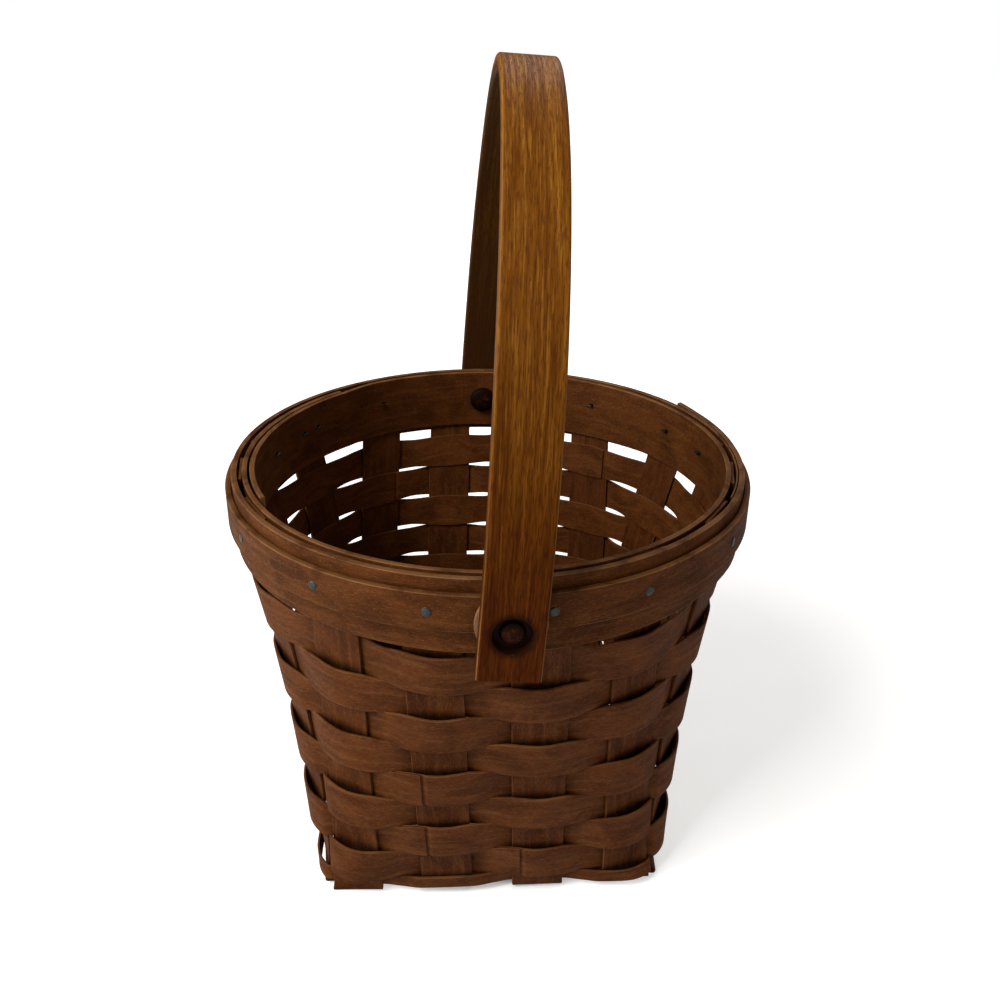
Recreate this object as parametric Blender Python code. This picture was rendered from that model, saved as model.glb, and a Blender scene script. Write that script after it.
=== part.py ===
"""Round-topped splint basket with a square woven bottom, a banded rim and a bent handle that swings on two
wooden pegs. Metres, +Z up, front towards -Y, the bottom resting on Z = 0 and the pegs lying along Y."""
import math

import bmesh
import bpy
import numpy as np

# Sizes of the woven body
GAP = 0.0003                # air between pieces that touch
RIM_HEIGHT = 0.1362         # bottom to the rim's top
BASE_HALF = 0.0570          # half the bottom's width, at the middle of the stakes
BASE_CORNER = 0.0075        # corner radius of the wall where it starts
RIM_RADIUS = 0.0807         # middle of the stakes behind the bands
STEADY_FLARE = 0.72         # share of the flare that is straight, the rest opens near the rim
FLARE_POWER = 2.9
ROUNDING_POWER = 0.90       # how soon the square section turns round
TWIST = -0.0045             # the weave's drift around the rim, as the photograph shows
STAKES_PER_SIDE = 4
STAKE_WIDTH = 0.0168
STAKE_THICK = 0.0010
STAKE_TOP = 0.001           # how far the stakes end below the rim's top
STAKE_CORNER_CLEAR = 0.0036     # from the bottom's edge in to the side of the outermost stakes
STAKE_PITCH = (BASE_HALF - STAKE_CORNER_CLEAR - STAKE_WIDTH / 2) / ((STAKES_PER_SIDE - 1) / 2)
BEND = 0.0025               # radius of each stake's turn-up
WEAVER_ROWS = 9
WEAVER_WIDTH = 0.0121       # where two weavers cross between stakes, each squeezing the other
WEAVER_EDGE_WIDTH = 0.0136  # at the side of a stake
WEAVER_FULL_WIDTH = 0.0140  # at the middle of a stake
WEAVER_THICK = 0.0008
WEAVER_BULGE = 0.0007       # extra height of a weaver at the middle of a stake
SQUEEZED = 0.5              # share of the way between stakes where a weaver keeps its least width
LOWEST_WIDTH = 0.0052       # the lowest weaver is a narrow one
LOWEST_ROW = 0.0056         # height of its middle
LOWEST_BULGE = 0.0003       # the same extra height for the lowest weaver
FIRST_ROW = 0.0151          # height of the middle of the first full weaver
TOP_ROW_CLEAR = 0.0109      # from the highest weaver's middle up to the bands' lower edge
LAP_STAKES = (10, 1, 0, 9, 0, 13, 6, 11, 8)     # stake behind which each weaver's lap starts
ROUND_FROM_ROW = 6          # from here up the wall is round enough for fewer points at the corners
LAP_BEFORE = 0.006          # from that stake's middle back to the hidden end
LAP_SHOWN = 0.0025          # how far the other end reaches over the next stake

# Sizes of the rim
BAND_HEIGHT = 0.0228
INNER_BAND_THICK = 0.0016
OUTER_BAND_THICK = 0.0018
TRIM_HEIGHT = 0.0112
TRIM_THICK = 0.0018
TRIM_DROP = 0.0040          # from the rim's top down to the trim's upper edge
LAP_START = 1.0             # degrees from the top of a lap's ramp to the end that lies underneath
# Where the outer band's second end runs over its first: angle from the front towards +X, and how far it is
# lifted off its normal place. The first end underneath is shaved to what is left, and the cut end springs up.
OUTER_RISE = ((44.0, 0.0), (61.0, 0.0008), (90.0, 0.0009), (112.0, 0.0021), (119.0, 0.0032))
INNER_RISE = ((-148.0, 0.0), (-138.0, 0.0019), (-100.0, 0.0024), (-64.0, 0.0024))    # inwards, the same way
TRIM_RISE = ((148.0, 0.0), (150.0, 0.0012), (163.0, 0.0012))
COVER_EARLY = 1.6           # degrees by which the trim starts to climb before the band under it
COVER_END = 10.0            # degrees over which the trim comes down again behind the band's cut end
# Tacks, each in a stake: the stake's number from the front's left, and metres beside its middle
TACKS = ((-1, 0.0), (0, -0.0021), (1, 0.0003), (2, 0.0021), (3, -0.0010), (4, 0.0), (5, 0.0), (6, 0.0050),
         (7, -0.0021), (8, -0.0006), (11, 0.0), (12, -0.0021), (12, 0.0060), (13, -0.0030), (14, 0.0))
TACK_HEAD_RADIUS = 0.0017
TACK_HEAD_HEIGHT = 0.0007
TACK_SHANK = 0.0010         # side of the square shank
TACK_TIP = 0.0022           # length of the clenched end

# Sizes of the handle and its pegs
PEG_SIDE = 0.0022           # the pegs' line lies this far to the right of the basket's middle
PEG_DROP = 0.0115           # from the rim's top down to the pegs
PEG_RADIUS = 0.0032
PEG_HEAD_RADIUS = 0.0050
PEG_HEAD_LENGTH = 0.0028
PEG_SUNK = 0.0011           # from the leg's face in to the peg's end
SPACER_RADIUS = 0.0097
SPACER_THICK = 0.0018
HANDLE_WIDTH = 0.0177
HANDLE_THICK = 0.0047
HANDLE_EDGE = 0.0009        # chamfer of its long edges
HANDLE_FOOT = 0.0140        # from the pegs down to the legs' ends
HANDLE_STRAIGHT = 0.008     # from the pegs up to where the legs start to bend
HANDLE_CROWN = 0.1345       # from the pegs up to the crown's top
HANDLE_POWER = 1.80         # roundness of the arch, two being a true ellipse
HANDLE_LEAN = math.radians(3.8)
COUNTERBORE_RADIUS = 0.0053
COUNTERBORE_DEPTH = 0.0022

# Worked out from the sizes above
BAND_FOOT = RIM_HEIGHT - BAND_HEIGHT
PEG_HEIGHT = RIM_HEIGHT - PEG_DROP
STAKES = 4 * STAKES_PER_SIDE
LOW = STAKE_THICK / 2
HIGH = LOW + STAKE_THICK + GAP
LIFT = STAKE_THICK / 2 + GAP + WEAVER_THICK / 2 + 0.00015
OUTER_IN = STAKE_THICK / 2 + GAP
OUTER_OUT = OUTER_IN + OUTER_BAND_THICK
TRIM_IN = OUTER_OUT + GAP
TRIM_OUT = TRIM_IN + TRIM_THICK
INNER_OUT = -(STAKE_THICK / 2 + GAP)
INNER_IN = INNER_OUT - INNER_BAND_THICK
TACK_HEIGHT = RIM_HEIGHT - TRIM_DROP - TRIM_HEIGHT / 2
BORE_RADIUS = PEG_RADIUS + GAP
RIM_FACE = RIM_RADIUS + TRIM_OUT    # the trim's outer face, where the spacers lie against it
LEG_IN = RIM_FACE + 2 * GAP + SPACER_THICK
LEG_OUT = LEG_IN + HANDLE_THICK


def section(z):
    """Half width and corner radius of the stakes' middle surface at a height."""
    share = min(max(z / BAND_FOOT, 0.0), 1.0)
    opened = STEADY_FLARE * share + (1 - STEADY_FLARE) * share ** FLARE_POWER
    half = BASE_HALF + (RIM_RADIUS - BASE_HALF) * opened
    corner = BASE_CORNER + (half - BASE_CORNER) * share ** ROUNDING_POWER
    return half, corner


def quarter(half, corner):
    """Length of one side of a rounded square, from corner to corner."""
    return 2 * (half - corner) + math.pi / 2 * corner


def around(run, half, corner, z):
    """Point of a rounded square at a length along it, counted from the front's middle towards +X."""
    side_length = quarter(half, corner)
    side = math.floor(run / side_length + 0.5)
    along = run - side * side_length
    flat = half - corner
    bent = min(max(abs(along) - flat, 0.0) / corner, math.pi / 4) if corner > 0 else 0.0
    x = math.copysign(min(abs(along), flat) + corner * math.sin(bent), along)
    y = -half + corner * (1 - math.cos(bent))
    for _ in range(side % 4):
        x, y = -y, x
    return (x, y, z)


def stake_run(number, z, side_length):
    """Length along the section to a stake's middle; a number between two stakes falls between them."""
    low = math.floor(number)
    share = number - low
    runs = []
    for whole in (low, low + 1):
        side, place = divmod(whole, STAKES_PER_SIDE)
        runs.append(side * side_length + (place - (STAKES_PER_SIDE - 1) / 2) * STAKE_PITCH + TWIST * z / RIM_HEIGHT)
    return runs[0] * (1 - share) + runs[1] * share


def wall(number, offset, z):
    """Point of the wall at a stake number, with an offset along the section, and a height."""
    half, corner = section(z)
    return around(stake_run(number, z, quarter(half, corner)) + offset, half, corner, z)


def normals(grid):
    """Unit normals of a grid of points, from its own slopes."""
    crossed = np.cross(np.gradient(grid, axis=0), np.gradient(grid, axis=1))
    return crossed / np.linalg.norm(crossed, axis=2, keepdims=True)


def make_object(name, vertices, faces, material, smooth=False, origin=(0, 0, 0)):
    """Named object from plain vertices and faces, turned outwards."""
    mesh = bpy.data.meshes.new(name)
    mesh.from_pydata([tuple(np.asarray(v) - np.asarray(origin)) for v in vertices], [], faces)
    work = bmesh.new()
    work.from_mesh(mesh)
    bmesh.ops.recalc_face_normals(work, faces=work.faces)
    work.to_mesh(mesh)
    work.free()
    for face in mesh.polygons:
        face.use_smooth = smooth
    thing = bpy.data.objects.new(name, mesh)
    thing.location = origin
    bpy.context.scene.collection.objects.link(thing)
    if material is not None:
        mesh.materials.append(material)
    return thing


def strip(name, grid, inner, outer, material):
    """Flat strip of wood along a grid of points, between two depths given for every row."""
    grid = np.asarray(grid, float)
    rows, columns = grid.shape[:2]
    up = normals(grid)
    out_side = grid + up * np.broadcast_to(np.asarray(outer, float).reshape(-1, 1, 1), (rows, columns, 1))
    in_side = grid + up * np.broadcast_to(np.asarray(inner, float).reshape(-1, 1, 1), (rows, columns, 1))
    vertices = list(out_side.reshape(-1, 3)) + list(in_side.reshape(-1, 3))
    count = rows * columns
    faces = []
    for i in range(rows - 1):
        for j in range(columns - 1):
            a, b = i * columns + j, (i + 1) * columns + j
            faces.append((a, b, b + 1, a + 1))
            faces.append((count + a, count + a + 1, count + b + 1, count + b))
        for edge in (0, columns - 1):
            a, b = i * columns + edge, (i + 1) * columns + edge
            faces.append((a, b, count + b, count + a))
    for row in (0, rows - 1):
        for j in range(columns - 1):
            a = row * columns + j
            faces.append((a, a + 1, count + a + 1, count + a))
    return make_object(name, vertices, faces, material)


def lathe(name, profile, material, steps=20, side=1):
    """Turned piece about the pegs' line; the profile lists (radius, distance from the middle)."""
    vertices = []
    rings = []
    for radius, reach in profile:
        if radius == 0:
            rings.append([len(vertices)])
            vertices.append((PEG_SIDE, side * reach, PEG_HEIGHT))
            continue
        rings.append(list(range(len(vertices), len(vertices) + steps)))
        for step in range(steps):
            angle = 2 * math.pi * step / steps
            across, up = radius * math.cos(angle), radius * math.sin(angle)
            vertices.append((PEG_SIDE + across, side * reach, PEG_HEIGHT + up))
    faces = []
    joined = list(zip(rings, rings[1:])) if len(rings[0]) == 1 else list(zip(rings, rings[1:] + rings[:1]))
    for first, second in joined:
        for step in range(steps):
            after = (step + 1) % steps
            corners = [first[step % len(first)], first[after % len(first)]]
            corners += [second[after % len(second)], second[step % len(second)]]
            faces.append(tuple(dict.fromkeys(corners)))
    return make_object(name, vertices, faces, material, smooth=True)


def wood(name, colour, roughness):
    """Plain principled material."""
    material = bpy.data.materials.new(name)
    material.use_nodes = True
    shader = material.node_tree.nodes["Principled BSDF"]
    shader.inputs["Base Color"].default_value = (*colour, 1)
    shader.inputs["Roughness"].default_value = roughness
    return material


def cut(thing, *cutters):
    """Leaves an exact difference on a piece for every cutter."""
    for cutter in cutters:
        cutter.hide_render = True
        cutter.display_type = "WIRE"
        modifier = thing.modifiers.new("cut_" + cutter.name, "BOOLEAN")
        modifier.operation = "DIFFERENCE"
        modifier.solver = "EXACT"
        modifier.object = cutter


def bottom_level(along, other_runs, signs):
    """Height of a stake's middle inside the bottom, over and under the stakes that cross it."""
    middle = (LOW + HIGH) / 2
    swing = (HIGH - LOW) / 2
    reach = STAKE_WIDTH / 2 + 2 * GAP
    if along <= other_runs[0] + reach:
        return middle + swing * signs[0]
    for first, second, sign, after in zip(other_runs, other_runs[1:], signs, signs[1:]):
        if along <= second - reach:
            share = (along - first - reach) / (second - first - 2 * reach)
            eased = share * share * (3 - 2 * share)
            return middle + swing * (sign + (after - sign) * eased)
        if along <= second + reach:
            return middle + swing * after
    return middle + swing * signs[-1]


def turn_up(start_level):
    """Stations (half, corner, height) of a stake's bend, from the bottom's level to the wall."""
    low_slope = (section(0.004)[0] - section(0.002)[0]) / 0.002
    turned = math.pi / 2 - math.atan(low_slope)
    top = start_level + BEND * (1 - math.cos(turned))
    half_top, corner_top = section(top)
    start = half_top - BEND * math.sin(turned)
    steps = 4
    stations = []
    for step in range(steps + 1):
        angle = turned * step / steps
        share = step / steps
        half = start + BEND * math.sin(angle)
        corner_start = 0.8 * (start - (STAKES_PER_SIDE - 1) / 2 * STAKE_PITCH - STAKE_WIDTH / 2)
        corner = corner_start + (corner_top - corner_start) * share
        stations.append((half, corner, start_level + BEND * (1 - math.cos(angle))))
    return stations


def row_place(row):
    """Height of a weaver's middle, and its width."""
    if row == 0:
        return LOWEST_ROW, LOWEST_WIDTH
    pitch = (BAND_FOOT - TOP_ROW_CLEAR - FIRST_ROW) / (WEAVER_ROWS - 2)
    return FIRST_ROW + pitch * (row - 1), WEAVER_WIDTH


def stake_leg(number, level, across, flip):
    """Grid rows of one upright, from the rim down to the bottom's edge."""
    heights = [RIM_HEIGHT - STAKE_TOP, BAND_FOOT]
    heights += [row_place(row)[0] for row in range(WEAVER_ROWS - 1, -1, -1) if row % 2 == 0 or row > 4]
    bend = turn_up(level)
    rows = []
    for z in heights:
        half, corner = section(z)
        rows.append((stake_run(number, z, quarter(half, corner)), half, corner, z))
    for half, corner, z in reversed(bend):
        rows.append((stake_run(number, 0.0, quarter(half, corner)), half, corner, z))
    return [[around(run + (-v if flip else v), half, corner, z) for v in across] for run, half, corner, z in rows]


def stake(name, index, crosswise, material):
    """One U-shaped splint: up one side, over and under across the bottom, and up the opposite side."""
    places = [(n - (STAKES_PER_SIDE - 1) / 2) * STAKE_PITCH for n in range(STAKES_PER_SIDE)]
    last = STAKES_PER_SIDE - 1
    outermost = index in (0, last)
    pieces = 4 if outermost else 2
    across = [STAKE_WIDTH * (n / pieces - 0.5) for n in range(pieces + 1)]
    if crosswise:
        signs = [(-1) ** (k + index) for k in range(STAKES_PER_SIDE)][::-1]
        starts = (STAKES_PER_SIDE + index, 3 * STAKES_PER_SIDE + last - index)
    else:
        signs = [-(-1) ** (index + m) for m in range(STAKES_PER_SIDE)]
        starts = (index, 2 * STAKES_PER_SIDE + last - index)
    levels = [HIGH if sign > 0 else LOW for sign in (signs[0], signs[-1])]
    first_leg = stake_leg(starts[0], levels[0], across, False)
    second_leg = stake_leg(starts[1], levels[1], across, True)
    reach = STAKE_WIDTH / 2 + 2 * GAP
    stations = [places[0] - reach, places[0] + reach]
    for low, high in zip(places, places[1:]):
        stations += [low + reach + (high - low - 2 * reach) * share for share in (0.3, 0.7)]
        stations += [high - reach, high + reach]
    grid = list(first_leg)
    for along in stations:
        z = bottom_level(along, places, signs)
        if crosswise:
            grid.append([(-along, places[index] + v, z) for v in across])
        else:
            grid.append([(places[index] + v, along, z) for v in across])
    grid += second_leg[::-1]
    half = STAKE_THICK / 2
    return strip(name, grid, [-half] * len(grid), [half] * len(grid), material)


def weaver(name, row, material):
    """One horizontal splint, in and out of every stake, its two thinned ends lapped."""
    z, width = row_place(row)
    side_length = quarter(*section(z))
    start = LAP_STAKES[row]
    end = start + STAKES
    bulge = WEAVER_BULGE if row else LOWEST_BULGE
    edge_width, full_width = (WEAVER_EDGE_WIDTH, WEAVER_FULL_WIDTH) if row else (width, width)
    stations = []
    for n in range(start - 1, end + 2):
        sign = 1 if (n + row) % 2 else -1
        before = STAKE_WIDTH / 2 / (stake_run(n, z, side_length) - stake_run(n - 1, z, side_length))
        after = STAKE_WIDTH / 2 / (stake_run(n + 1, z, side_length) - stake_run(n, z, side_length))
        squeezed_lift = sign * SQUEEZED * LIFT
        stations.append((n - 0.5 + (0.5 - before) * SQUEEZED, squeezed_lift, width))
        stations.append((n - before, sign * LIFT, edge_width))
        stations.append((n, sign * (LIFT + bulge), full_width))
        stations.append((n + after, sign * LIFT, edge_width))
        stations.append((n + 0.5 - (0.5 - after) * SQUEEZED, squeezed_lift, width))
        if n % STAKES_PER_SIDE in (0, STAKES_PER_SIDE - 1) and row < ROUND_FROM_ROW:
            part_width = (edge_width + full_width) / 2
            stations.append((n - before / 2, sign * (LIFT + 0.72 * bulge), part_width))
            stations.append((n + after / 2, sign * (LIFT + 0.72 * bulge), part_width))
    numbers, lifts, widths = np.array(sorted(stations)).T
    pitch = stake_run(start + 1, z, side_length) - stake_run(start, z, side_length)
    next_edge = STAKE_WIDTH / 2 / pitch
    clear = 2 * GAP / pitch
    ramp = 0.0012 / pitch
    first = start - LAP_BEFORE / pitch
    shown = start + 1 - next_edge + LAP_SHOWN / pitch
    marks = [first - clear - ramp, first - clear, first, shown, shown + clear, shown + clear + ramp]
    chosen = marks[2:] + [mark + STAKES for mark in marks[:4]]
    inside = [n for n in numbers if first < n < shown + STAKES]
    closest = [min(abs(n - mark) for mark in marks + [mark + STAKES for mark in marks]) for n in inside]
    chosen = sorted(chosen + [n for n, reach in zip(inside, closest) if reach > 0.02])
    grid = []
    inner = []
    outer = []
    half = WEAVER_THICK / 2
    thin = GAP / 2
    levels = [float(np.interp(n, numbers, lifts)) for n in chosen]
    for n in chosen:
        wide = float(np.interp(n, numbers, widths))
        grid.append([wall(n, 0.0, z + wide * share) for share in (-0.5, 0.5)])
        inner.append(thin if n >= end - (start - marks[1]) - 1e-9 else -half)
        outer.append(-thin if n <= shown + clear + 1e-9 else half)
    grid = np.array(grid)
    lifted = grid + normals(grid) * np.array(levels).reshape(-1, 1, 1)
    return strip(name, lifted, inner, outer, material)


def along_table(angle, table):
    """Value at an angle from pairs of angle and value, straight between them."""
    angles, values = zip(*table)
    return float(np.interp(angle, angles, values))


def lap_ends(rises):
    """Angle where the end underneath starts, and degrees from there to the other end."""
    first = rises[1][0] + LAP_START
    return first, 360.0 + rises[-1][0] - first


def layer(angle, rises, thick):
    """Rise and thickness of a lapped strip, its first end shaved to fit under its second."""
    second_pass = angle - 360.0
    if second_pass > rises[0][0]:
        return along_table(second_pass, rises), thick
    return 0.0, min(thick, along_table(angle, rises) - GAP)


def lap_marks(rises):
    """Angles of a lap's own points, close enough to follow the rim."""
    marks = []
    for (low, _), (high, _) in zip(rises, rises[1:]):
        steps = max(1, round((high - low) / 5.5))
        marks += [low + (high - low) * n / steps for n in range(steps)]
    return marks + [rises[-1][0]]


def band(name, rises, more_angles, low, high, depths, material):
    """Strip bent once round the rim and lapped over its own first end."""
    first, turned = lap_ends(rises)
    lap = lap_marks(rises)
    marks = [first] + [angle for angle in lap if angle > first] + [angle + 360.0 for angle in lap]
    gap_from, gap_to = lap[-1], lap[0] + 360.0
    plain = round((gap_to - gap_from) / 5.4)
    marks += [gap_from + (gap_to - gap_from) * n / plain for n in range(1, plain)]
    marks += [angle for angle in more_angles if first < angle < first + turned]
    marks = [angle for angle in marks if all(abs(angle - other) > 1.2 for other in more_angles) or angle in
             more_angles or angle in (first, first + turned)]
    grid = []
    inner = []
    outer = []
    for angle in sorted(set(marks)):
        row = []
        for z in (low, high):
            row.append((RIM_RADIUS * math.sin(math.radians(angle)), -RIM_RADIUS * math.cos(math.radians(angle)), z))
        grid.append(row)
        near, far = depths(angle)
        inner.append(near)
        outer.append(far)
    return strip(name, grid, inner, outer, material)


def outer_depths(angle):
    """Depths of the outer band at an angle."""
    rise, thick = layer(angle, OUTER_RISE, OUTER_BAND_THICK)
    return OUTER_IN + rise, OUTER_IN + rise + thick


def inner_depths(angle):
    """Depths of the inner band at an angle."""
    rise, thick = layer(angle, INNER_RISE, INNER_BAND_THICK)
    return INNER_OUT - rise - thick, INNER_OUT - rise


def inner_face(angle):
    """Depth of the rim's innermost face, between -180 and 180 degrees."""
    start, end = INNER_RISE[0][0], INNER_RISE[-1][0]
    return INNER_IN - (along_table(angle, INNER_RISE) if start < angle < end else 0.0)


def cover_table():
    """How far the trim is lifted by the outer band's lap: angle and rise."""
    table = [(angle - COVER_EARLY, rise) for angle, rise in OUTER_RISE]
    end, top = OUTER_RISE[-1]
    return table + [(end + LAP_START, top), (end + LAP_START + COVER_END, 0.0)]


def trim_face(angle):
    """Depth of the trim's outer face, its own lap and the band's lap under it counted."""
    start, end = TRIM_RISE[0][0], TRIM_RISE[-1][0]
    own = along_table(angle, TRIM_RISE) if start < angle < end + LAP_START else 0.0
    return TRIM_OUT + own + along_table(angle, cover_table())


def trim_depths(angle):
    """Depths of the trim, which also rides over the outer band's lap."""
    rise, thick = layer(angle, TRIM_RISE, TRIM_THICK)
    rise += along_table(angle % 360.0, cover_table())
    return TRIM_IN + rise, TRIM_IN + rise + thick


def tack_frame(angle):
    """Outward and sideways directions of a tack, and its height."""
    turned = math.radians(angle)
    outward = np.array((math.sin(turned), -math.cos(turned), 0.0))
    sideways = np.array((math.cos(turned), math.sin(turned), 0.0))
    return outward, sideways, np.array((0.0, 0.0, 1.0))


def ring_faces(rings):
    """Faces of a run of equal rings, closed at both ends."""
    steps = len(rings[0])
    faces = [tuple(rings[0][::-1]), tuple(rings[-1])]
    for first, second in zip(rings, rings[1:]):
        for step in range(steps):
            after = (step + 1) % steps
            faces.append((first[step], first[after], second[after], second[step]))
    return faces


def tack_angle(place, beside):
    """Angle of a tack from its stake and its place beside the stake's middle."""
    side_length = quarter(*section(TACK_HEIGHT))
    return math.degrees((stake_run(place, TACK_HEIGHT, side_length) + beside) / RIM_RADIUS)


def tack(name, angle, material):
    """One tack: domed head on the trim, shank through the rim, tip clenched inside."""
    steps = 6
    outward, sideways, up = tack_frame(angle)
    centre = up * TACK_HEIGHT
    head_turn = math.degrees(TACK_HEAD_RADIUS / RIM_RADIUS)
    tip_turn = math.degrees(TACK_TIP / RIM_RADIUS)
    seen_from_inside = angle - 360.0 if angle > 180.0 else angle
    seat = RIM_RADIUS + max(trim_face(angle + turn) for turn in (-head_turn, head_turn)) + GAP / 2
    drops = [inner_face(seen_from_inside + turn) for turn in (0.0, tip_turn)]
    inside = RIM_RADIUS + min(drops)
    bend = inside - GAP - TACK_SHANK / 2
    half = TACK_SHANK / 2
    turns = [2 * math.pi * (n + 0.5) / steps for n in range(steps)]
    outline = [(math.cos(turn), math.sin(turn)) for turn in turns]
    rings = [[(seat + TACK_HEAD_HEIGHT, 0.55 * TACK_HEAD_RADIUS * a, 0.55 * TACK_HEAD_RADIUS * b) for a, b in outline]]
    for reach, size in ((seat + 0.6 * TACK_HEAD_HEIGHT, TACK_HEAD_RADIUS), (seat, TACK_HEAD_RADIUS), (seat, half)):
        rings.append([(reach, size * a, size * b) for a, b in outline])
    rings.append([(bend + half * a, half * a, half * b) for a, b in outline])
    rings.append([(bend + half * 0.4 * a, TACK_TIP, half * 0.4 * b) for a, b in outline])
    vertices = [centre + outward * r + sideways * s + up * u for ring in rings for r, s, u in ring]
    numbers = [[steps * place + n for n in range(steps)] for place in range(len(rings))]
    return make_object(name, vertices, ring_faces(numbers), material)


def tack_holes(name):
    """Square holes for the shanks, as one cutter."""
    vertices = []
    faces = []
    side = TACK_SHANK / 2 + GAP
    deepest = RIM_RADIUS + INNER_IN - max(rise for _, rise in INNER_RISE)
    highest = RIM_RADIUS + TRIM_OUT + max(rise for _, rise in OUTER_RISE)
    for place, beside in TACKS:
        outward, sideways, up = tack_frame(tack_angle(place, beside))
        rings = []
        for reach in (deepest - 0.002, highest + 0.002):
            ring = []
            for a, b in ((-1, -1), (1, -1), (1, 1), (-1, 1)):
                ring.append(len(vertices))
                vertices.append(outward * reach + sideways * side * a + up * (TACK_HEIGHT + side * b))
            rings.append(ring)
        faces += ring_faces(rings)
    return make_object(name, vertices, faces, None)


def handle(name, material):
    """Bent strip: two upright feet under one arch, leaning as the photograph shows."""
    middle = (LEG_IN + LEG_OUT) / 2
    rise = HANDLE_CROWN - HANDLE_THICK / 2 - HANDLE_STRAIGHT
    path = [(-middle, z) for z in (-HANDLE_FOOT, -HANDLE_FOOT + HANDLE_EDGE, 0.0, HANDLE_STRAIGHT)]
    steps = 32
    for step in range(1, steps):
        turn = math.pi * step / steps
        y = -math.copysign(middle * abs(math.cos(turn)) ** (2 / HANDLE_POWER), math.cos(turn))
        path.append((y, HANDLE_STRAIGHT + rise * math.sin(turn) ** (2 / HANDLE_POWER)))
    path += [(middle, z) for z in (HANDLE_STRAIGHT, 0.0, -HANDLE_FOOT + HANDLE_EDGE, -HANDLE_FOOT)]
    vertices = []
    rings = []
    last = len(path) - 1
    for place, (y, z) in enumerate(path):
        before = path[max(place - 1, 0)]
        after = path[min(place + 1, last)]
        slope = math.atan2(after[0] - before[0], after[1] - before[1])
        slope = 0.0 if place < 4 else math.pi if place > last - 4 else slope
        cut_back = HANDLE_EDGE / 2 if place in (0, last) else 0.0
        wide = HANDLE_WIDTH / 2 - cut_back
        deep = HANDLE_THICK / 2 - cut_back
        edge = HANDLE_EDGE
        outline = ((wide - edge, deep), (wide, deep - edge), (wide, edge - deep), (wide - edge, -deep),
                   (edge - wide, -deep), (-wide, edge - deep), (-wide, deep - edge), (edge - wide, deep))
        ring = []
        for x, out in outline:
            along = y - out * math.cos(slope)
            up = z + out * math.sin(slope)
            ring.append(len(vertices))
            vertices.append((PEG_SIDE + x * math.cos(HANDLE_LEAN) + up * math.sin(HANDLE_LEAN), along,
                             PEG_HEIGHT - x * math.sin(HANDLE_LEAN) + up * math.cos(HANDLE_LEAN)))
        rings.append(ring)
    return make_object(name, vertices, ring_faces(rings), material, origin=(PEG_SIDE, 0.0, PEG_HEIGHT))


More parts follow.
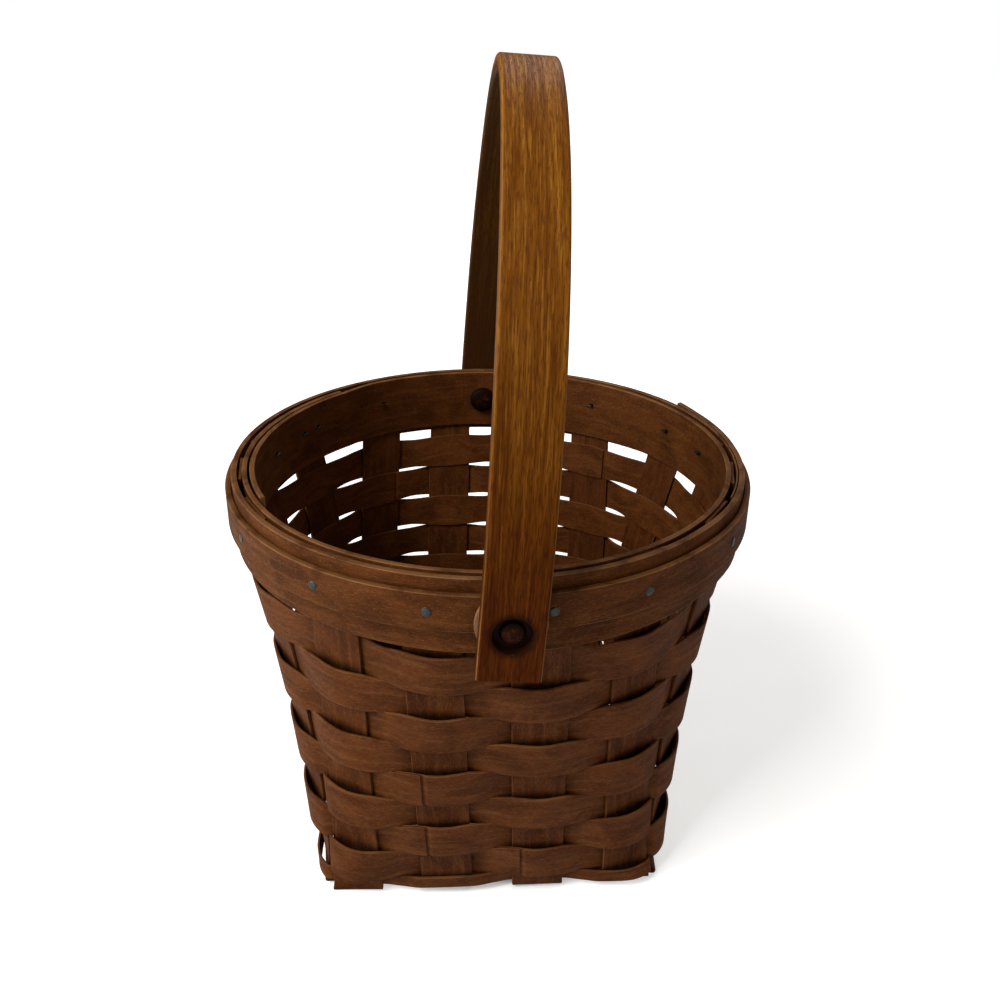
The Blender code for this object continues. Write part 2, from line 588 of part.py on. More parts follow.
def main():
    """Builds every piece."""
    for thing in list(bpy.data.objects):
        bpy.data.objects.remove(thing, do_unlink=True)
    splint = wood("stained_splint", (0.105, 0.048, 0.022), 0.55)
    weave = wood("stained_weaver", (0.120, 0.055, 0.025), 0.52)
    rim = wood("stained_band", (0.115, 0.050, 0.022), 0.50)
    ash = wood("stained_handle", (0.185, 0.082, 0.026), 0.45)
    turned = wood("turned_peg", (0.110, 0.040, 0.020), 0.45)
    pale = wood("pale_spacer", (0.300, 0.170, 0.080), 0.55)
    steel = wood("blued_tack", (0.060, 0.065, 0.075), 0.40)
    steel.node_tree.nodes["Principled BSDF"].inputs["Metallic"].default_value = 0.9

    holes = tack_holes("tack_holes")
    bore = lathe("peg_bore", [(0, -LEG_OUT - 0.01), (BORE_RADIUS, -LEG_OUT - 0.01), (BORE_RADIUS, LEG_OUT + 0.01),
                              (0, LEG_OUT + 0.01)], None)
    for index in range(STAKES_PER_SIDE):
        cut(stake("stake_long_%d" % (index + 1), index, False, splint), holes, bore)
        cut(stake("stake_cross_%d" % (index + 1), index, True, splint), holes)
    for row in range(WEAVER_ROWS):
        weaver("weaver_%d" % (row + 1), row, weave)

    outer = band("outer_band", OUTER_RISE, (), BAND_FOOT, RIM_HEIGHT, outer_depths, rim)
    inner = band("inner_band", INNER_RISE, (), BAND_FOOT, RIM_HEIGHT, inner_depths, rim)
    trim_top = RIM_HEIGHT - TRIM_DROP
    covered = [angle + 360.0 * (angle < TRIM_RISE[1][0]) for angle, _ in cover_table()]
    trim = band("trim_strip", TRIM_RISE, covered, trim_top - TRIM_HEIGHT, trim_top, trim_depths, rim)
    for ring in (outer, inner, trim):
        cut(ring, holes, bore)
    for number, (place, beside) in enumerate(TACKS):
        tack("tack_%02d" % (number + 1), tack_angle(place, beside), steel)

    bail = handle("handle", ash)
    head = RIM_RADIUS + INNER_IN - PEG_HEAD_RADIUS ** 2 / (2 * RIM_RADIUS) - GAP
    end = LEG_OUT - PEG_SUNK
    peg_outline = [(0, head - PEG_HEAD_LENGTH), (0.6 * PEG_HEAD_RADIUS, head - PEG_HEAD_LENGTH),
                   (0.92 * PEG_HEAD_RADIUS, head - 0.75 * PEG_HEAD_LENGTH),
                   (PEG_HEAD_RADIUS, head - 0.4 * PEG_HEAD_LENGTH), (PEG_HEAD_RADIUS, head), (PEG_RADIUS, head),
                   (PEG_RADIUS, end - 0.0004), (PEG_RADIUS - 0.0004, end), (0, end)]
    washer_in = RIM_FACE + GAP
    washer_out = washer_in + SPACER_THICK
    spacer_outline = [(BORE_RADIUS, washer_in), (SPACER_RADIUS - 0.0003, washer_in),
                      (SPACER_RADIUS, washer_in + 0.0003), (SPACER_RADIUS, washer_out - 0.0003),
                      (SPACER_RADIUS - 0.0003, washer_out), (BORE_RADIUS, washer_out)]
    seat = LEG_OUT - COUNTERBORE_DEPTH
    leg_bore = [(0, LEG_IN - 0.002), (BORE_RADIUS, LEG_IN - 0.002), (BORE_RADIUS, seat),
                (COUNTERBORE_RADIUS, seat), (COUNTERBORE_RADIUS, LEG_OUT + 0.002), (0, LEG_OUT + 0.002)]
    for name, side in (("front", -1), ("back", 1)):
        lathe("peg_" + name, peg_outline, turned, side=side)
        lathe("spacer_" + name, spacer_outline, pale, steps=24, side=side)
        cut(bail, lathe("leg_bore_" + name, leg_bore, None, side=side))


main()
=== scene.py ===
"""Looks of the woven splint basket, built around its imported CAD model. Metres, +Z up, front towards -Y."""

import math

import bmesh
import bpy
import numpy as np
from mathutils import Matrix, Vector


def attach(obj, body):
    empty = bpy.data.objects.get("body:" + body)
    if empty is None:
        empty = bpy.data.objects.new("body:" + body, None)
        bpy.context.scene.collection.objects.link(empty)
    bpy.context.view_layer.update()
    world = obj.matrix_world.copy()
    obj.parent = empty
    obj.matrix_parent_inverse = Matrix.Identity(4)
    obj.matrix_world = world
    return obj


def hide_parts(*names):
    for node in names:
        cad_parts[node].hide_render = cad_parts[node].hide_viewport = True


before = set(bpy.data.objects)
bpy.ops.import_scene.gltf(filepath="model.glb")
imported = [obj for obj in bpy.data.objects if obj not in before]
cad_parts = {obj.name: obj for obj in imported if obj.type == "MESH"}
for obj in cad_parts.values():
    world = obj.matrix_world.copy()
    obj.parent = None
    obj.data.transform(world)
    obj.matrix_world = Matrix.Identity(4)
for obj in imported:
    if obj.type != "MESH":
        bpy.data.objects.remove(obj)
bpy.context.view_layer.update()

# Sizes of the woven body, as in the CAD source but for the rounding
GAP = 0.0003  # air between pieces that touch
RIM_HEIGHT = 0.1362  # bottom to the rim's top
BASE_HALF = 0.0570  # half the bottom's width, at the middle of the stakes
BASE_CORNER = 0.0075  # corner radius of the wall where it starts
RIM_RADIUS = 0.0807  # middle of the stakes behind the bands
STEADY_FLARE = 0.72  # share of the flare that is straight, the rest opens near the rim
FLARE_POWER = 2.9
ROUNDING_POWER = 0.64  # how soon the square section turns round, sooner than in the CAD source
TWIST = -0.0045  # the weave's drift around the rim, as the photograph shows
STAKES_PER_SIDE = 4
MIDDLE_PLACE = (STAKES_PER_SIDE - 1) / 2  # of a side, counted in stakes
STAKE_WIDTH = 0.0168
STAKE_THICK = 0.0010
STAKE_TOP = 0.001  # how far the stakes end below the rim's top
STAKE_CORNER_CLEAR = 0.0036  # from the bottom's edge in to the side of the outermost stakes
STAKE_PITCH = (BASE_HALF - STAKE_CORNER_CLEAR - STAKE_WIDTH / 2) / MIDDLE_PLACE
BEND = 0.0025  # radius of each stake's turn-up
WEAVER_ROWS = 9
WEAVER_FULL_WIDTH = 0.0140  # at the middle of a stake, where painted shade gathers beside it
WEAVER_THICK = 0.0008
LOWEST_WIDTH = 0.0052  # the lowest weaver is a narrow one
LOWEST_ROW = 0.0056  # height of its middle
LOWEST_BULGE = 0.0001  # how much further out it stands at a stake's middle
FIRST_ROW = 0.0151  # height of the middle of the first full weaver
TOP_ROW_CLEAR = 0.0109  # from the highest weaver's middle up to the bands' lower edge
LAP_STAKES = (10, 1, 0, 9, 0, 13, 6, 11, 8)  # stake behind which each weaver's lap starts
LAP_BEFORE = 0.006  # from that stake's middle back to the hidden end
LAP_SHOWN = 0.0025  # how far the other end reaches over the next stake
LAP_RAMP = 0.0012  # length over which a weaver thins towards its lap

# Sizes of the rim
BAND_HEIGHT = 0.0228
INNER_BAND_THICK = 0.0016
OUTER_BAND_THICK = 0.0018
TRIM_HEIGHT = 0.0112
TRIM_THICK = 0.0018  # past its lap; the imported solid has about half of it
TRIM_DROP = 0.0040  # from the rim's top down to the trim's upper edge
LAP_START = 1.0  # degrees from the top of a lap's ramp to the end that lies underneath
THICKEN = 0.00015  # metres a degree by which a shaved end grows past its lap
# Where the outer band's second end runs over its first: angle from the front towards +X, and how far it is
# lifted off its normal place. The first end underneath is shaved to what is left, and the cut end springs up.
OUTER_RISE = ((44.0, 0.0), (61.0, 0.0008), (90.0, 0.0009), (112.0, 0.0021), (119.0, 0.0032))
INNER_RISE = ((-148.0, 0.0), (-138.0, 0.0019), (-100.0, 0.0024), (-64.0, 0.0024))  # inwards, the same way
TRIM_RISE = ((148.0, 0.0), (150.0, 0.0012), (163.0, 0.0012))
COVER_EARLY = 1.6  # degrees by which the trim starts to climb before the band under it
COVER_END = 10.0  # degrees over which the trim comes down again behind the band's cut end
# Tacks, each in a stake: the stake's number from the front's left, and metres beside its middle
TACKS = ((-1, 0.0), (0, -0.0021), (1, 0.0003), (2, 0.0021), (3, -0.0010), (4, 0.0), (5, 0.0), (6, 0.0050),
         (7, -0.0021), (8, -0.0006), (11, 0.0), (12, -0.0021), (12, 0.0060), (13, -0.0030), (14, 0.0))
TACK_SEAT = 0.0017  # how far beside a tack the trim is felt for the height of its seat
TACK_SHANK = 0.0010  # side of the square shank
TACK_TIP = 0.0022  # length of the clenched end

# Sizes of the handle and its pegs
PEG_SIDE = 0.0022  # the pegs' line lies this far to the right of the basket's middle
PEG_DROP = 0.0115  # from the rim's top down to the pegs
PEG_RADIUS = 0.0032
PEG_HEAD_RADIUS = 0.0050
PEG_HEAD_LENGTH = 0.0028
PEG_SUNK = 0.0011  # from the leg's face in to the peg's end
SPACER_RADIUS = 0.0097
SPACER_THICK = 0.0018
HANDLE_WIDTH = 0.0177
HANDLE_THICK = 0.0047
HANDLE_EDGE = 0.0009  # rounding of its long edges
HANDLE_FOOT = 0.0140  # from the pegs down to the legs' ends
HANDLE_STRAIGHT = 0.008  # from the pegs up to where the legs start to bend
HANDLE_CROWN = 0.1345  # from the pegs up to the crown's top
HANDLE_POWER = 1.80  # roundness of the arch, two being a true ellipse
HANDLE_LEAN = math.radians(3.8)
COUNTERBORE_RADIUS = 0.0053
COUNTERBORE_DEPTH = 0.0022

# Worked out from the sizes above
BAND_FOOT = RIM_HEIGHT - BAND_HEIGHT
PEG_HEIGHT = RIM_HEIGHT - PEG_DROP
STAKES = 4 * STAKES_PER_SIDE
ROW_PITCH = (BAND_FOOT - TOP_ROW_CLEAR - FIRST_ROW) / (WEAVER_ROWS - 2)
ROW_HEIGHTS = [LOWEST_ROW] + [FIRST_ROW + ROW_PITCH * n for n in range(WEAVER_ROWS - 1)]
LOW = STAKE_THICK / 2  # middle of a stake in the bottom where it runs under
HIGH = LOW + STAKE_THICK + GAP  # and where it runs over
CROSS_REACH = STAKE_WIDTH / 2 + 2 * GAP  # half of a stake's level run over or under another
OUTER_IN = STAKE_THICK / 2 + GAP
OUTER_OUT = OUTER_IN + OUTER_BAND_THICK
TRIM_IN = OUTER_OUT + GAP
TRIM_OUT = TRIM_IN + TRIM_THICK
INNER_OUT = -(STAKE_THICK / 2 + GAP)
INNER_IN = INNER_OUT - INNER_BAND_THICK
TRIM_TOP = RIM_HEIGHT - TRIM_DROP
TACK_HEIGHT = RIM_HEIGHT - TRIM_DROP - TRIM_HEIGHT / 2
BORE_RADIUS = PEG_RADIUS + GAP
RIM_FACE = RIM_RADIUS + TRIM_OUT  # the trim's outer face, where the spacers lie against it
LEG_IN = RIM_FACE + 2 * GAP + SPACER_THICK
LEG_OUT = LEG_IN + HANDLE_THICK

# The weave is tight at the front and looser round the back; each pair below holds front and back
HUG = (0.00108, 0.00098)  # how far a weaver's middle stands off the stakes' middle where it leaves them
HUG_BULGE = (0.0009, 0.0003)  # and how much further at a stake's middle
CROSSING = (0.01245, 0.0113)  # height of a weaver where two cross
AT_EDGE = (0.0143, 0.0121)  # at the side of a stake
AT_MIDDLE = (0.0139, 0.0130)  # at the middle of a stake
UNEVEN = (0.25, 1.0)  # share of the full unevenness of a weaver's edges
LOOSE_FROM = 3.0  # stakes from the front's middle to where the weave starts to loosen
LOOSE_OVER = 1.5  # stakes over which it does
FRONT_RISE = 0.0006  # extra height of the top weaver's upper edge at the front

# Unevenness, soft edges and how finely the pieces are drawn
DRIFT = 0.00018  # how far an edge wanders up and down
SHAVED = 0.00012  # how much a splint's edges are shaved on average
BAND_SHAVED = 0.00010
HANDLE_SHAVED = 0.00008
WEAVER_SOFT = 0.0002  # rounding of the edges
STAKE_SOFT = 0.00022
BAND_SOFT = 0.00025
EDGE_ROW = 0.00035  # from a soft edge in to the next points of a splint's face
WEAVER_STEPS = 26  # stations from stake to stake
LEG_STEPS = 90  # stations up an upright
BOTTOM_STEPS = 84  # stations across the bottom
BEND_STEPS = 9
FOOT_STEPS = 15  # stations up a foot of the handle
ARCH_STEPS = 220  # stations along its arch
ARCH_FINE = 1201  # points of the curve that they are read from
LEG_FOOT = 0.0012  # from the top of the bend up to the first station of the upright
SHADE_REACH = 0.0024  # how far painted shade spreads on a stake from a weaver's edge
# darkest share of that painted shade
SHADE_MOST = 0.96
INNER_SHADE = 0.1  # share of the painted shade on a splint's inner face
OUTER_SAG = 0.0028  # how far the outer band's lower edge sinks towards the back
SUNK_HEAD = 0.0001  # how far the tack heads are driven into the trim
HEAD_RADIUS = 0.0015  # of a hammered tack head
HEAD_HEIGHT = 0.0004
# Rings of a tack head: shares of its radius and of its height
HEAD_RINGS = ((0.30, 1.0), (0.62, 0.93), (0.88, 0.66), (0.99, 0.34), (1.0, 0.12), (0.94, 0.0))
BORE_SOFT = 0.0004  # softened mouth of a counterbore
TURNED_SOFT = 0.0003  # softened edges of pegs and spacers
TURNED_STEPS = 64  # points round a turned piece
GRAIN_MAP = "Grain"
# Stains as a picture shows them, 0 to 255: dark, middle, light, pale flecks and worn edges partly painted as
# a highlight, dark flecks and painted shade
STAKE_STAIN = ((60, 27, 6), (84, 43, 15), (110, 66, 31), (112, 72, 40), (20, 8, 2))
WEAVER_STAIN = ((66, 31, 7), (92, 49, 18), (118, 72, 36), (118, 80, 48), (22, 9, 2))
BAND_STAIN = ((62, 30, 7), (88, 47, 16), (114, 70, 34), (146, 106, 68), (22, 9, 2))


# Plan of the wall

def section(z):
    """Half width and corner radius of the stakes' middle surface at a height."""
    share = min(max(z / BAND_FOOT, 0.0), 1.0)
    opened = STEADY_FLARE * share + (1 - STEADY_FLARE) * share ** FLARE_POWER
    half = BASE_HALF + (RIM_RADIUS - BASE_HALF) * opened
    corner = BASE_CORNER + (half - BASE_CORNER) * share ** ROUNDING_POWER
    return half, corner


def quarter(half, corner):
    """Length of one side of a rounded square, from corner to corner."""
    return 2 * (half - corner) + math.pi / 2 * corner


def around(run, half, corner, z):
    """Point of a rounded square at a length along it, counted from the front's middle towards +X."""
    side_length = quarter(half, corner)
    side = math.floor(run / side_length + 0.5)
    along = run - side * side_length
    flat = half - corner
    bent = min(max(abs(along) - flat, 0.0) / corner, math.pi / 4) if corner > 0 else 0.0
    x = math.copysign(min(abs(along), flat) + corner * math.sin(bent), along)
    y = -half + corner * (1 - math.cos(bent))
    for _ in range(side % 4):
        x, y = -y, x
    return (x, y, z)


def stake_run(number, z, side_length):
    """Length along the section to a stake's middle; a number between two stakes falls between them."""
    low = math.floor(number)
    share = number - low
    runs = []
    for whole in (low, low + 1):
        side, place = divmod(whole, STAKES_PER_SIDE)
        run = side * side_length + (place - MIDDLE_PLACE) * STAKE_PITCH
        runs.append(run + TWIST * z / RIM_HEIGHT)
    return runs[0] * (1 - share) + runs[1] * share


def wall(number, z):
    """Point of the wall at a stake number and a height."""
    half, corner = section(z)
    return around(stake_run(number, z, quarter(half, corner)), half, corner, z)


def ease(places, xs, ys):
    """Smooth monotone curve through points, read at the given places."""
    steps = np.diff(xs)
    slopes = np.diff(ys) / steps
    bends = np.zeros(len(xs))
    same = slopes[:-1] * slopes[1:] > 0
    first = 2 * steps[1:] + steps[:-1]
    second = steps[1:] + 2 * steps[:-1]
    with np.errstate(divide="ignore", invalid="ignore"):
        mean = (first + second) / (first / slopes[:-1] + second / slopes[1:])
    bends[1:-1] = np.where(same, mean, 0.0)
    bends[0], bends[-1] = slopes[0], slopes[-1]
    k = np.clip(np.searchsorted(xs, places) - 1, 0, len(steps) - 1)
    t = (places - xs[k]) / steps[k]
    return ((1 + 2 * t) * (1 - t) ** 2 * ys[k] + t * (1 - t) ** 2 * steps[k] * bends[k]
            + t * t * (3 - 2 * t) * ys[k + 1] + t * t * (t - 1) * steps[k] * bends[k + 1])


def wobble(places, wave, seed, parts=4):
    """Smooth random curve between about -1 and 1 along a length, with waves of about the given length."""
    draw = np.random.default_rng(seed)
    total = np.zeros(len(places))
    for _ in range(parts):
        total += np.sin(2 * math.pi * places / (wave * draw.uniform(0.6, 1.7)) + draw.uniform(0, 2 * math.pi))
    return total / parts ** 0.5 / 1.4


# Mesh making

def add_object(name, mesh):
    """New object of the scene with a mesh."""
    thing = bpy.data.objects.new(name, mesh)
    bpy.context.scene.collection.objects.link(thing)
    return thing


def face_outwards(mesh):
    """Turns every face of a closed mesh outwards."""
    work = bmesh.new()
    work.from_mesh(mesh)
    bmesh.ops.recalc_face_normals(work, faces=work.faces)
    work.to_mesh(mesh)
    work.free()


def finish_mesh(name, vertices, faces, uvs, wear_and_highlight, painted_shade, material, sharp=38.0):
    """Object from vertices, faces, a UV pair per corner, and wear with painted highlight and painted shade
    per vertex.
    """
    mesh = bpy.data.meshes.new(name)
    mesh.from_pydata([tuple(v) for v in vertices], [], [tuple(f) for f in faces])
    mesh.polygons.foreach_set("use_smooth", [True] * len(mesh.polygons))
    grain = mesh.uv_layers.new(name=GRAIN_MAP)
    grain.data.foreach_set("uv", np.asarray(uvs, np.float32).ravel())
    for key, values in (("wear_and_highlight", wear_and_highlight), ("painted_shade", painted_shade)):
        attribute = mesh.attributes.new(key, "FLOAT", "POINT")
        attribute.data.foreach_set("value", np.asarray(values, np.float32))
    mesh.update()
    mesh.set_sharp_from_angle(angle=math.radians(sharp))
    mesh.materials.append(material)
    return add_object(name, mesh)


def unit(vectors):
    """Vectors brought to a length of one."""
    return vectors / np.linalg.norm(vectors, axis=1, keepdims=True)


def run_lengths(points):
    """Lengths along a line of points, from its start."""
    return np.concatenate([[0.0], np.cumsum(np.linalg.norm(np.diff(points, axis=0), axis=1))])


def ring_lengths(ring):
    """Lengths round a closed ring of flat points, from its start back to it."""
    steps = [math.hypot(b[0] - a[0], b[1] - a[1]) for a, b in zip(ring, ring[1:] + ring[:1])]
    return [0.0, *np.cumsum(steps)]


def quads(size, rings, first=0):
    """Faces between neighbouring rings of points."""
    return [(k + n, k + (n + 1) % size, k + size + (n + 1) % size, k + size + n)
            for k in range(first, first + (rings - 1) * size, size) for n in range(size)]


def skin(lengths, rounds, start_u=0.0, start_v=0.0):
    """Faces and UV pairs of equal rings, closed at both ends, from the lengths along and round them."""
    size = len(rounds[0]) - 1
    last = len(rounds) - 1
    faces = []
    uvs = []
    for k in range(last):
        for n in range(size):
            m = (n + 1) % size
            faces.append((k * size + n, (k + 1) * size + n, (k + 1) * size + m, k * size + m))
            for row, place in ((k, n), (k + 1, n), (k + 1, n + 1), (k, n + 1)):
                uvs.append((lengths[row] + start_u, rounds[row][place] + start_v))
    for k, order in ((0, range(size)), (last, range(size)[::-1])):
        faces.append([k * size + n for n in order])
        uvs += [(lengths[k] + start_u, rounds[k][n] + start_v) for n in order]
    return faces, uvs


def profile(width, inner, outer, edge, columns):
    """Ring of (across, depth) points of a splint's section with softened edges, counted outer face first."""
    middle = (inner + outer) / 2
    half = (outer - inner) / 2
    edge = min(edge, 0.9 * half)
    bevel = 0.3 * edge
    w = width / 2
    near = min(EDGE_ROW, 0.2 * w)
    flat = np.linspace(-(w - edge - near), w - edge - near, columns - 1).tolist()
    flat = [-(w - edge)] + flat + [w - edge]
    turn = [(w - bevel, half - bevel), (w, half - edge), (w, edge - half), (w - bevel, bevel - half)]
    ring = [(a, half) for a in flat] + turn + [(a, -half) for a in flat[::-1]] + [(-a, -d) for a, d in turn]
    return [(a, d + middle) for a, d in ring]


def splint(name, low, high, inner, outer, material, edge, columns=6, shade_share=None, seed=0):
    """Flat strip of wood between its lower and its upper edge, with depths and painted shade at every
    station.
    """
    low = np.asarray(low, float)
    high = np.asarray(high, float)
    stations = len(low)
    inner = np.broadcast_to(np.asarray(inner, float), (stations,))
    outer = np.broadcast_to(np.asarray(outer, float), (stations,))
    shade_share = np.zeros(stations) if shade_share is None else shade_share
    centre = (low + high) / 2
    across = high - low
    widths = np.linalg.norm(across, axis=1)
    across /= widths[:, None]
    normal = unit(np.cross(unit(np.gradient(centre, axis=0)), across))
    draw = np.random.default_rng(seed + 1)
    start_u, start_v = draw.uniform(0, 40), draw.uniform(0, 40)
    vertices = []
    wear_and_highlight = []
    painted_shade = []
    rounds = []
    for k in range(stations):
        ring = profile(widths[k], inner[k], outer[k], edge, columns)
        rounds.append(ring_lengths(ring))
        for a, d in ring:
            vertices.append(centre[k] + across[k] * a + normal[k] * d)
            beside = widths[k] / 2 - abs(a)
            # pale worn edges, partly a painted highlight along the edges
            wear_and_highlight.append(0.35 if beside < 0.1 * edge else 1.0 if beside < 0.5 * edge else 0.0)
            # painted shade, full on the outer face and a small share on the inner face
            painted_shade.append(shade_share[k] if d > (inner[k] + outer[k]) / 2 else INNER_SHADE * shade_share[k])
    faces, uvs = skin(run_lengths(centre), rounds, start_u, start_v)
    made = finish_mesh(name, vertices, faces, uvs, wear_and_highlight, painted_shade, material)
    work = bmesh.new()
    work.from_mesh(made.data)
    if work.calc_volume(signed=True) < 0:
        bmesh.ops.reverse_faces(work, faces=work.faces)
        work.to_mesh(made.data)
    work.free()
    return made


def ring_at(radius, reach, side, steps):
    """Circle of points about the pegs' line."""
    return [(PEG_SIDE + radius * math.cos(2 * math.pi * n / steps), side * reach,
             PEG_HEIGHT + radius * math.sin(2 * math.pi * n / steps)) for n in range(steps)]


def turned(name, outline, side, material):
    """Turned piece about the pegs' line; the outline lists (radius, distance from the middle)."""
    vertices = []
    rings = []
    for radius, reach in outline:
        first = len(vertices)
        if radius == 0:
            rings.append([first] * TURNED_STEPS)
            vertices.append((PEG_SIDE, side * reach, PEG_HEIGHT))
        else:
            rings.append(range(first, first + TURNED_STEPS))
            vertices += ring_at(radius, reach, side, TURNED_STEPS)
    pairs = list(zip(rings, rings[1:]))
    if outline[0][0] != 0:
        pairs.append((rings[-1], rings[0]))
    faces = []
    for here, there in pairs:
        for step in range(TURNED_STEPS):
            after = (step + 1) % TURNED_STEPS
            corners = list(dict.fromkeys([here[step], here[after], there[after], there[step]]))
            if len(corners) > 2:
                faces.append(corners)
    corners = [vertices[corner] for face in faces for corner in face]
    uvs = [(y, x + 0.4 * (z - PEG_HEIGHT)) for x, y, z in corners]
    plain = [0.0] * len(vertices)
    made = finish_mesh(name, vertices, faces, uvs, plain, plain, material)
    face_outwards(made.data)
    return made


def cutter(name, runs):
    """Closed cutter from runs of equal rings of points."""
    vertices = []
    faces = []
    for run in runs:
        size = len(run[0])
        first = len(vertices)
        for ring in run:
            vertices += [tuple(p) for p in ring]
        faces.append([first + n for n in range(size)][::-1])
        faces.append([first + (len(run) - 1) * size + n for n in range(size)])
        faces += quads(size, len(run), first)
    mesh = bpy.data.meshes.new(name)
    mesh.from_pydata(vertices, [], faces)
    face_outwards(mesh)
    return add_object(name, mesh)


def carve(thing, tool):
    """Cuts a tool out of a piece for good."""
    modifier = thing.modifiers.new("cut", "BOOLEAN")
    modifier.operation = "DIFFERENCE"
    modifier.solver = "EXACT"
    modifier.object = tool
    graph = bpy.context.evaluated_depsgraph_get()
    cut = thing.evaluated_get(graph)
    made = bpy.data.meshes.new_from_object(cut, preserve_all_data_layers=True, depsgraph=graph)
    thing.modifiers.clear()
    old = thing.data
    thing.data = made
    made.name = thing.name
    bpy.data.meshes.remove(old)


# Pieces of the weave

def looser(number, pair):
    """Size at a stake number, from its size at the front and its size round the back."""
    apart = abs((number - MIDDLE_PLACE + STAKES / 2) % STAKES - STAKES / 2)
    share = min(max((apart - LOOSE_FROM) / LOOSE_OVER, 0.0), 1.0)
    return pair[0] + (pair[1] - pair[0]) * share


def weaver_wave(row, z, numbers):
    """How far a weaver's middle stands off the stakes' middle, and how wide it is, at stake numbers."""
    side_length = quarter(*section(z))
    start = LAP_STAKES[row]
    stations = []
    for n in range(start - 2, start + STAKES + 4):
        sign = 1 if (n + row) % 2 else -1
        if row == 0:
            hug, bulge = HUG[1], LOWEST_BULGE
            crossing = beside = full = LOWEST_WIDTH
        else:
            hug, bulge = looser(n, HUG), looser(n, HUG_BULGE)
            crossing, beside, full = looser(n - 0.5, CROSSING), looser(n, AT_EDGE), looser(n, AT_MIDDLE)
        here = stake_run(n, z, side_length)
        before = STAKE_WIDTH / 2 / (here - stake_run(n - 1, z, side_length))
        after = STAKE_WIDTH / 2 / (stake_run(n + 1, z, side_length) - here)
        stations += [(n - 0.5, 0.0, crossing), (n - before, sign * hug, beside),
                     (n, sign * (hug + bulge), full), (n + after, sign * hug, beside)]
    marks, lifts, breadths = np.array(stations).T
    return ease(numbers, marks, lifts), ease(numbers, marks, breadths)


def weaver(name, row, material):
    """One horizontal splint, in and out of every stake, its thinned ends lapped."""
    z = ROW_HEIGHTS[row]
    side_length = quarter(*section(z))
    start = LAP_STAKES[row]
    pitch = stake_run(start + 1, z, side_length) - stake_run(start, z, side_length)
    clear = 2 * GAP / pitch
    ramp = LAP_RAMP / pitch
    first = start - LAP_BEFORE / pitch
    hidden = start + STAKES - LAP_BEFORE / pitch
    shown = start + 1 - STAKE_WIDTH / 2 / pitch + LAP_SHOWN / pitch
    step = 1.0 / WEAVER_STEPS
    numbers = np.arange(first, shown + STAKES + step / 2, step)
    keys = [first, shown, shown + clear, shown + clear + ramp]
    keys += [k + STAKES for k in (first - clear - ramp, first - clear, first, shown)]
    numbers = np.array(sorted([n for n in numbers if min(abs(n - k) for k in keys) > step / 3] + keys))
    levels, widths = weaver_wave(row, z, numbers)
    lengths = numbers * pitch
    uneven = np.array([looser(n, UNEVEN) for n in numbers])
    drift = DRIFT * wobble(lengths, 0.09, 31 + row) * uneven
    narrow = SHAVED * (1 + wobble(lengths, 0.05, 61 + row)) * uneven
    if row == WEAVER_ROWS - 1:
        narrow -= FRONT_RISE / 2 * (1 - uneven)
        drift += FRONT_RISE / 2 * (1 - uneven)
    low, high = [], []
    for n, wide, shift, less in zip(numbers, widths, drift, narrow):
        low.append(wall(n, z - wide / 2 + shift + less))
        high.append(wall(n, z + wide / 2 + shift - less))
    low, high = np.array(low), np.array(high)
    out = unit(np.cross(np.gradient((low + high) / 2, axis=0), high - low)) * levels[:, None]
    half = WEAVER_THICK / 2
    thin = GAP / 2
    inner = np.interp(numbers, [hidden - clear - ramp, hidden - clear], [-half, thin])
    outer = np.interp(numbers, [shown + clear, shown + clear + ramp], [-thin, half])
    # painted shade where the weaver runs behind the stakes
    shade_share = np.clip(-levels / HUG[0], 0, 1) * 0.30
    return splint(name, low + out, high + out, inner, outer, material, WEAVER_SOFT, shade_share=shade_share, seed=100 + row)


def bottom_level(along, other_runs, signs):
    """Height of a stake's middle inside the bottom, over and under the stakes that cross it."""
    middle = (LOW + HIGH) / 2
    swing = (HIGH - LOW) / 2
    if along <= other_runs[0] + CROSS_REACH:
        return middle + swing * signs[0]
    for first, second, sign, after in zip(other_runs, other_runs[1:], signs, signs[1:]):
        if along <= second - CROSS_REACH:
            share = (along - first - CROSS_REACH) / (second - first - 2 * CROSS_REACH)
            eased = share * share * (3 - 2 * share)
            return middle + swing * (sign + (after - sign) * eased)
        if along <= second + CROSS_REACH:
            return middle + swing * after
    return middle + swing * signs[-1]


def turn_up(start_level):
    """Stations (half, corner, height) of a stake's bend, from the bottom's level to the wall."""
    low_slope = (section(0.004)[0] - section(0.002)[0]) / 0.002
    angle_all = math.pi / 2 - math.atan(low_slope)
    top = start_level + BEND * (1 - math.cos(angle_all))
    half_top, corner_top = section(top)
    start = half_top - BEND * math.sin(angle_all)
    corner_start = 0.8 * (start - MIDDLE_PLACE * STAKE_PITCH - STAKE_WIDTH / 2)
    stations = []
    for step in range(BEND_STEPS + 1):
        angle = angle_all * step / BEND_STEPS
        corner = corner_start + (corner_top - corner_start) * (step / BEND_STEPS)
        height = start_level + BEND * (1 - math.cos(angle))
        stations.append((start + BEND * math.sin(angle), corner, height))
    return stations


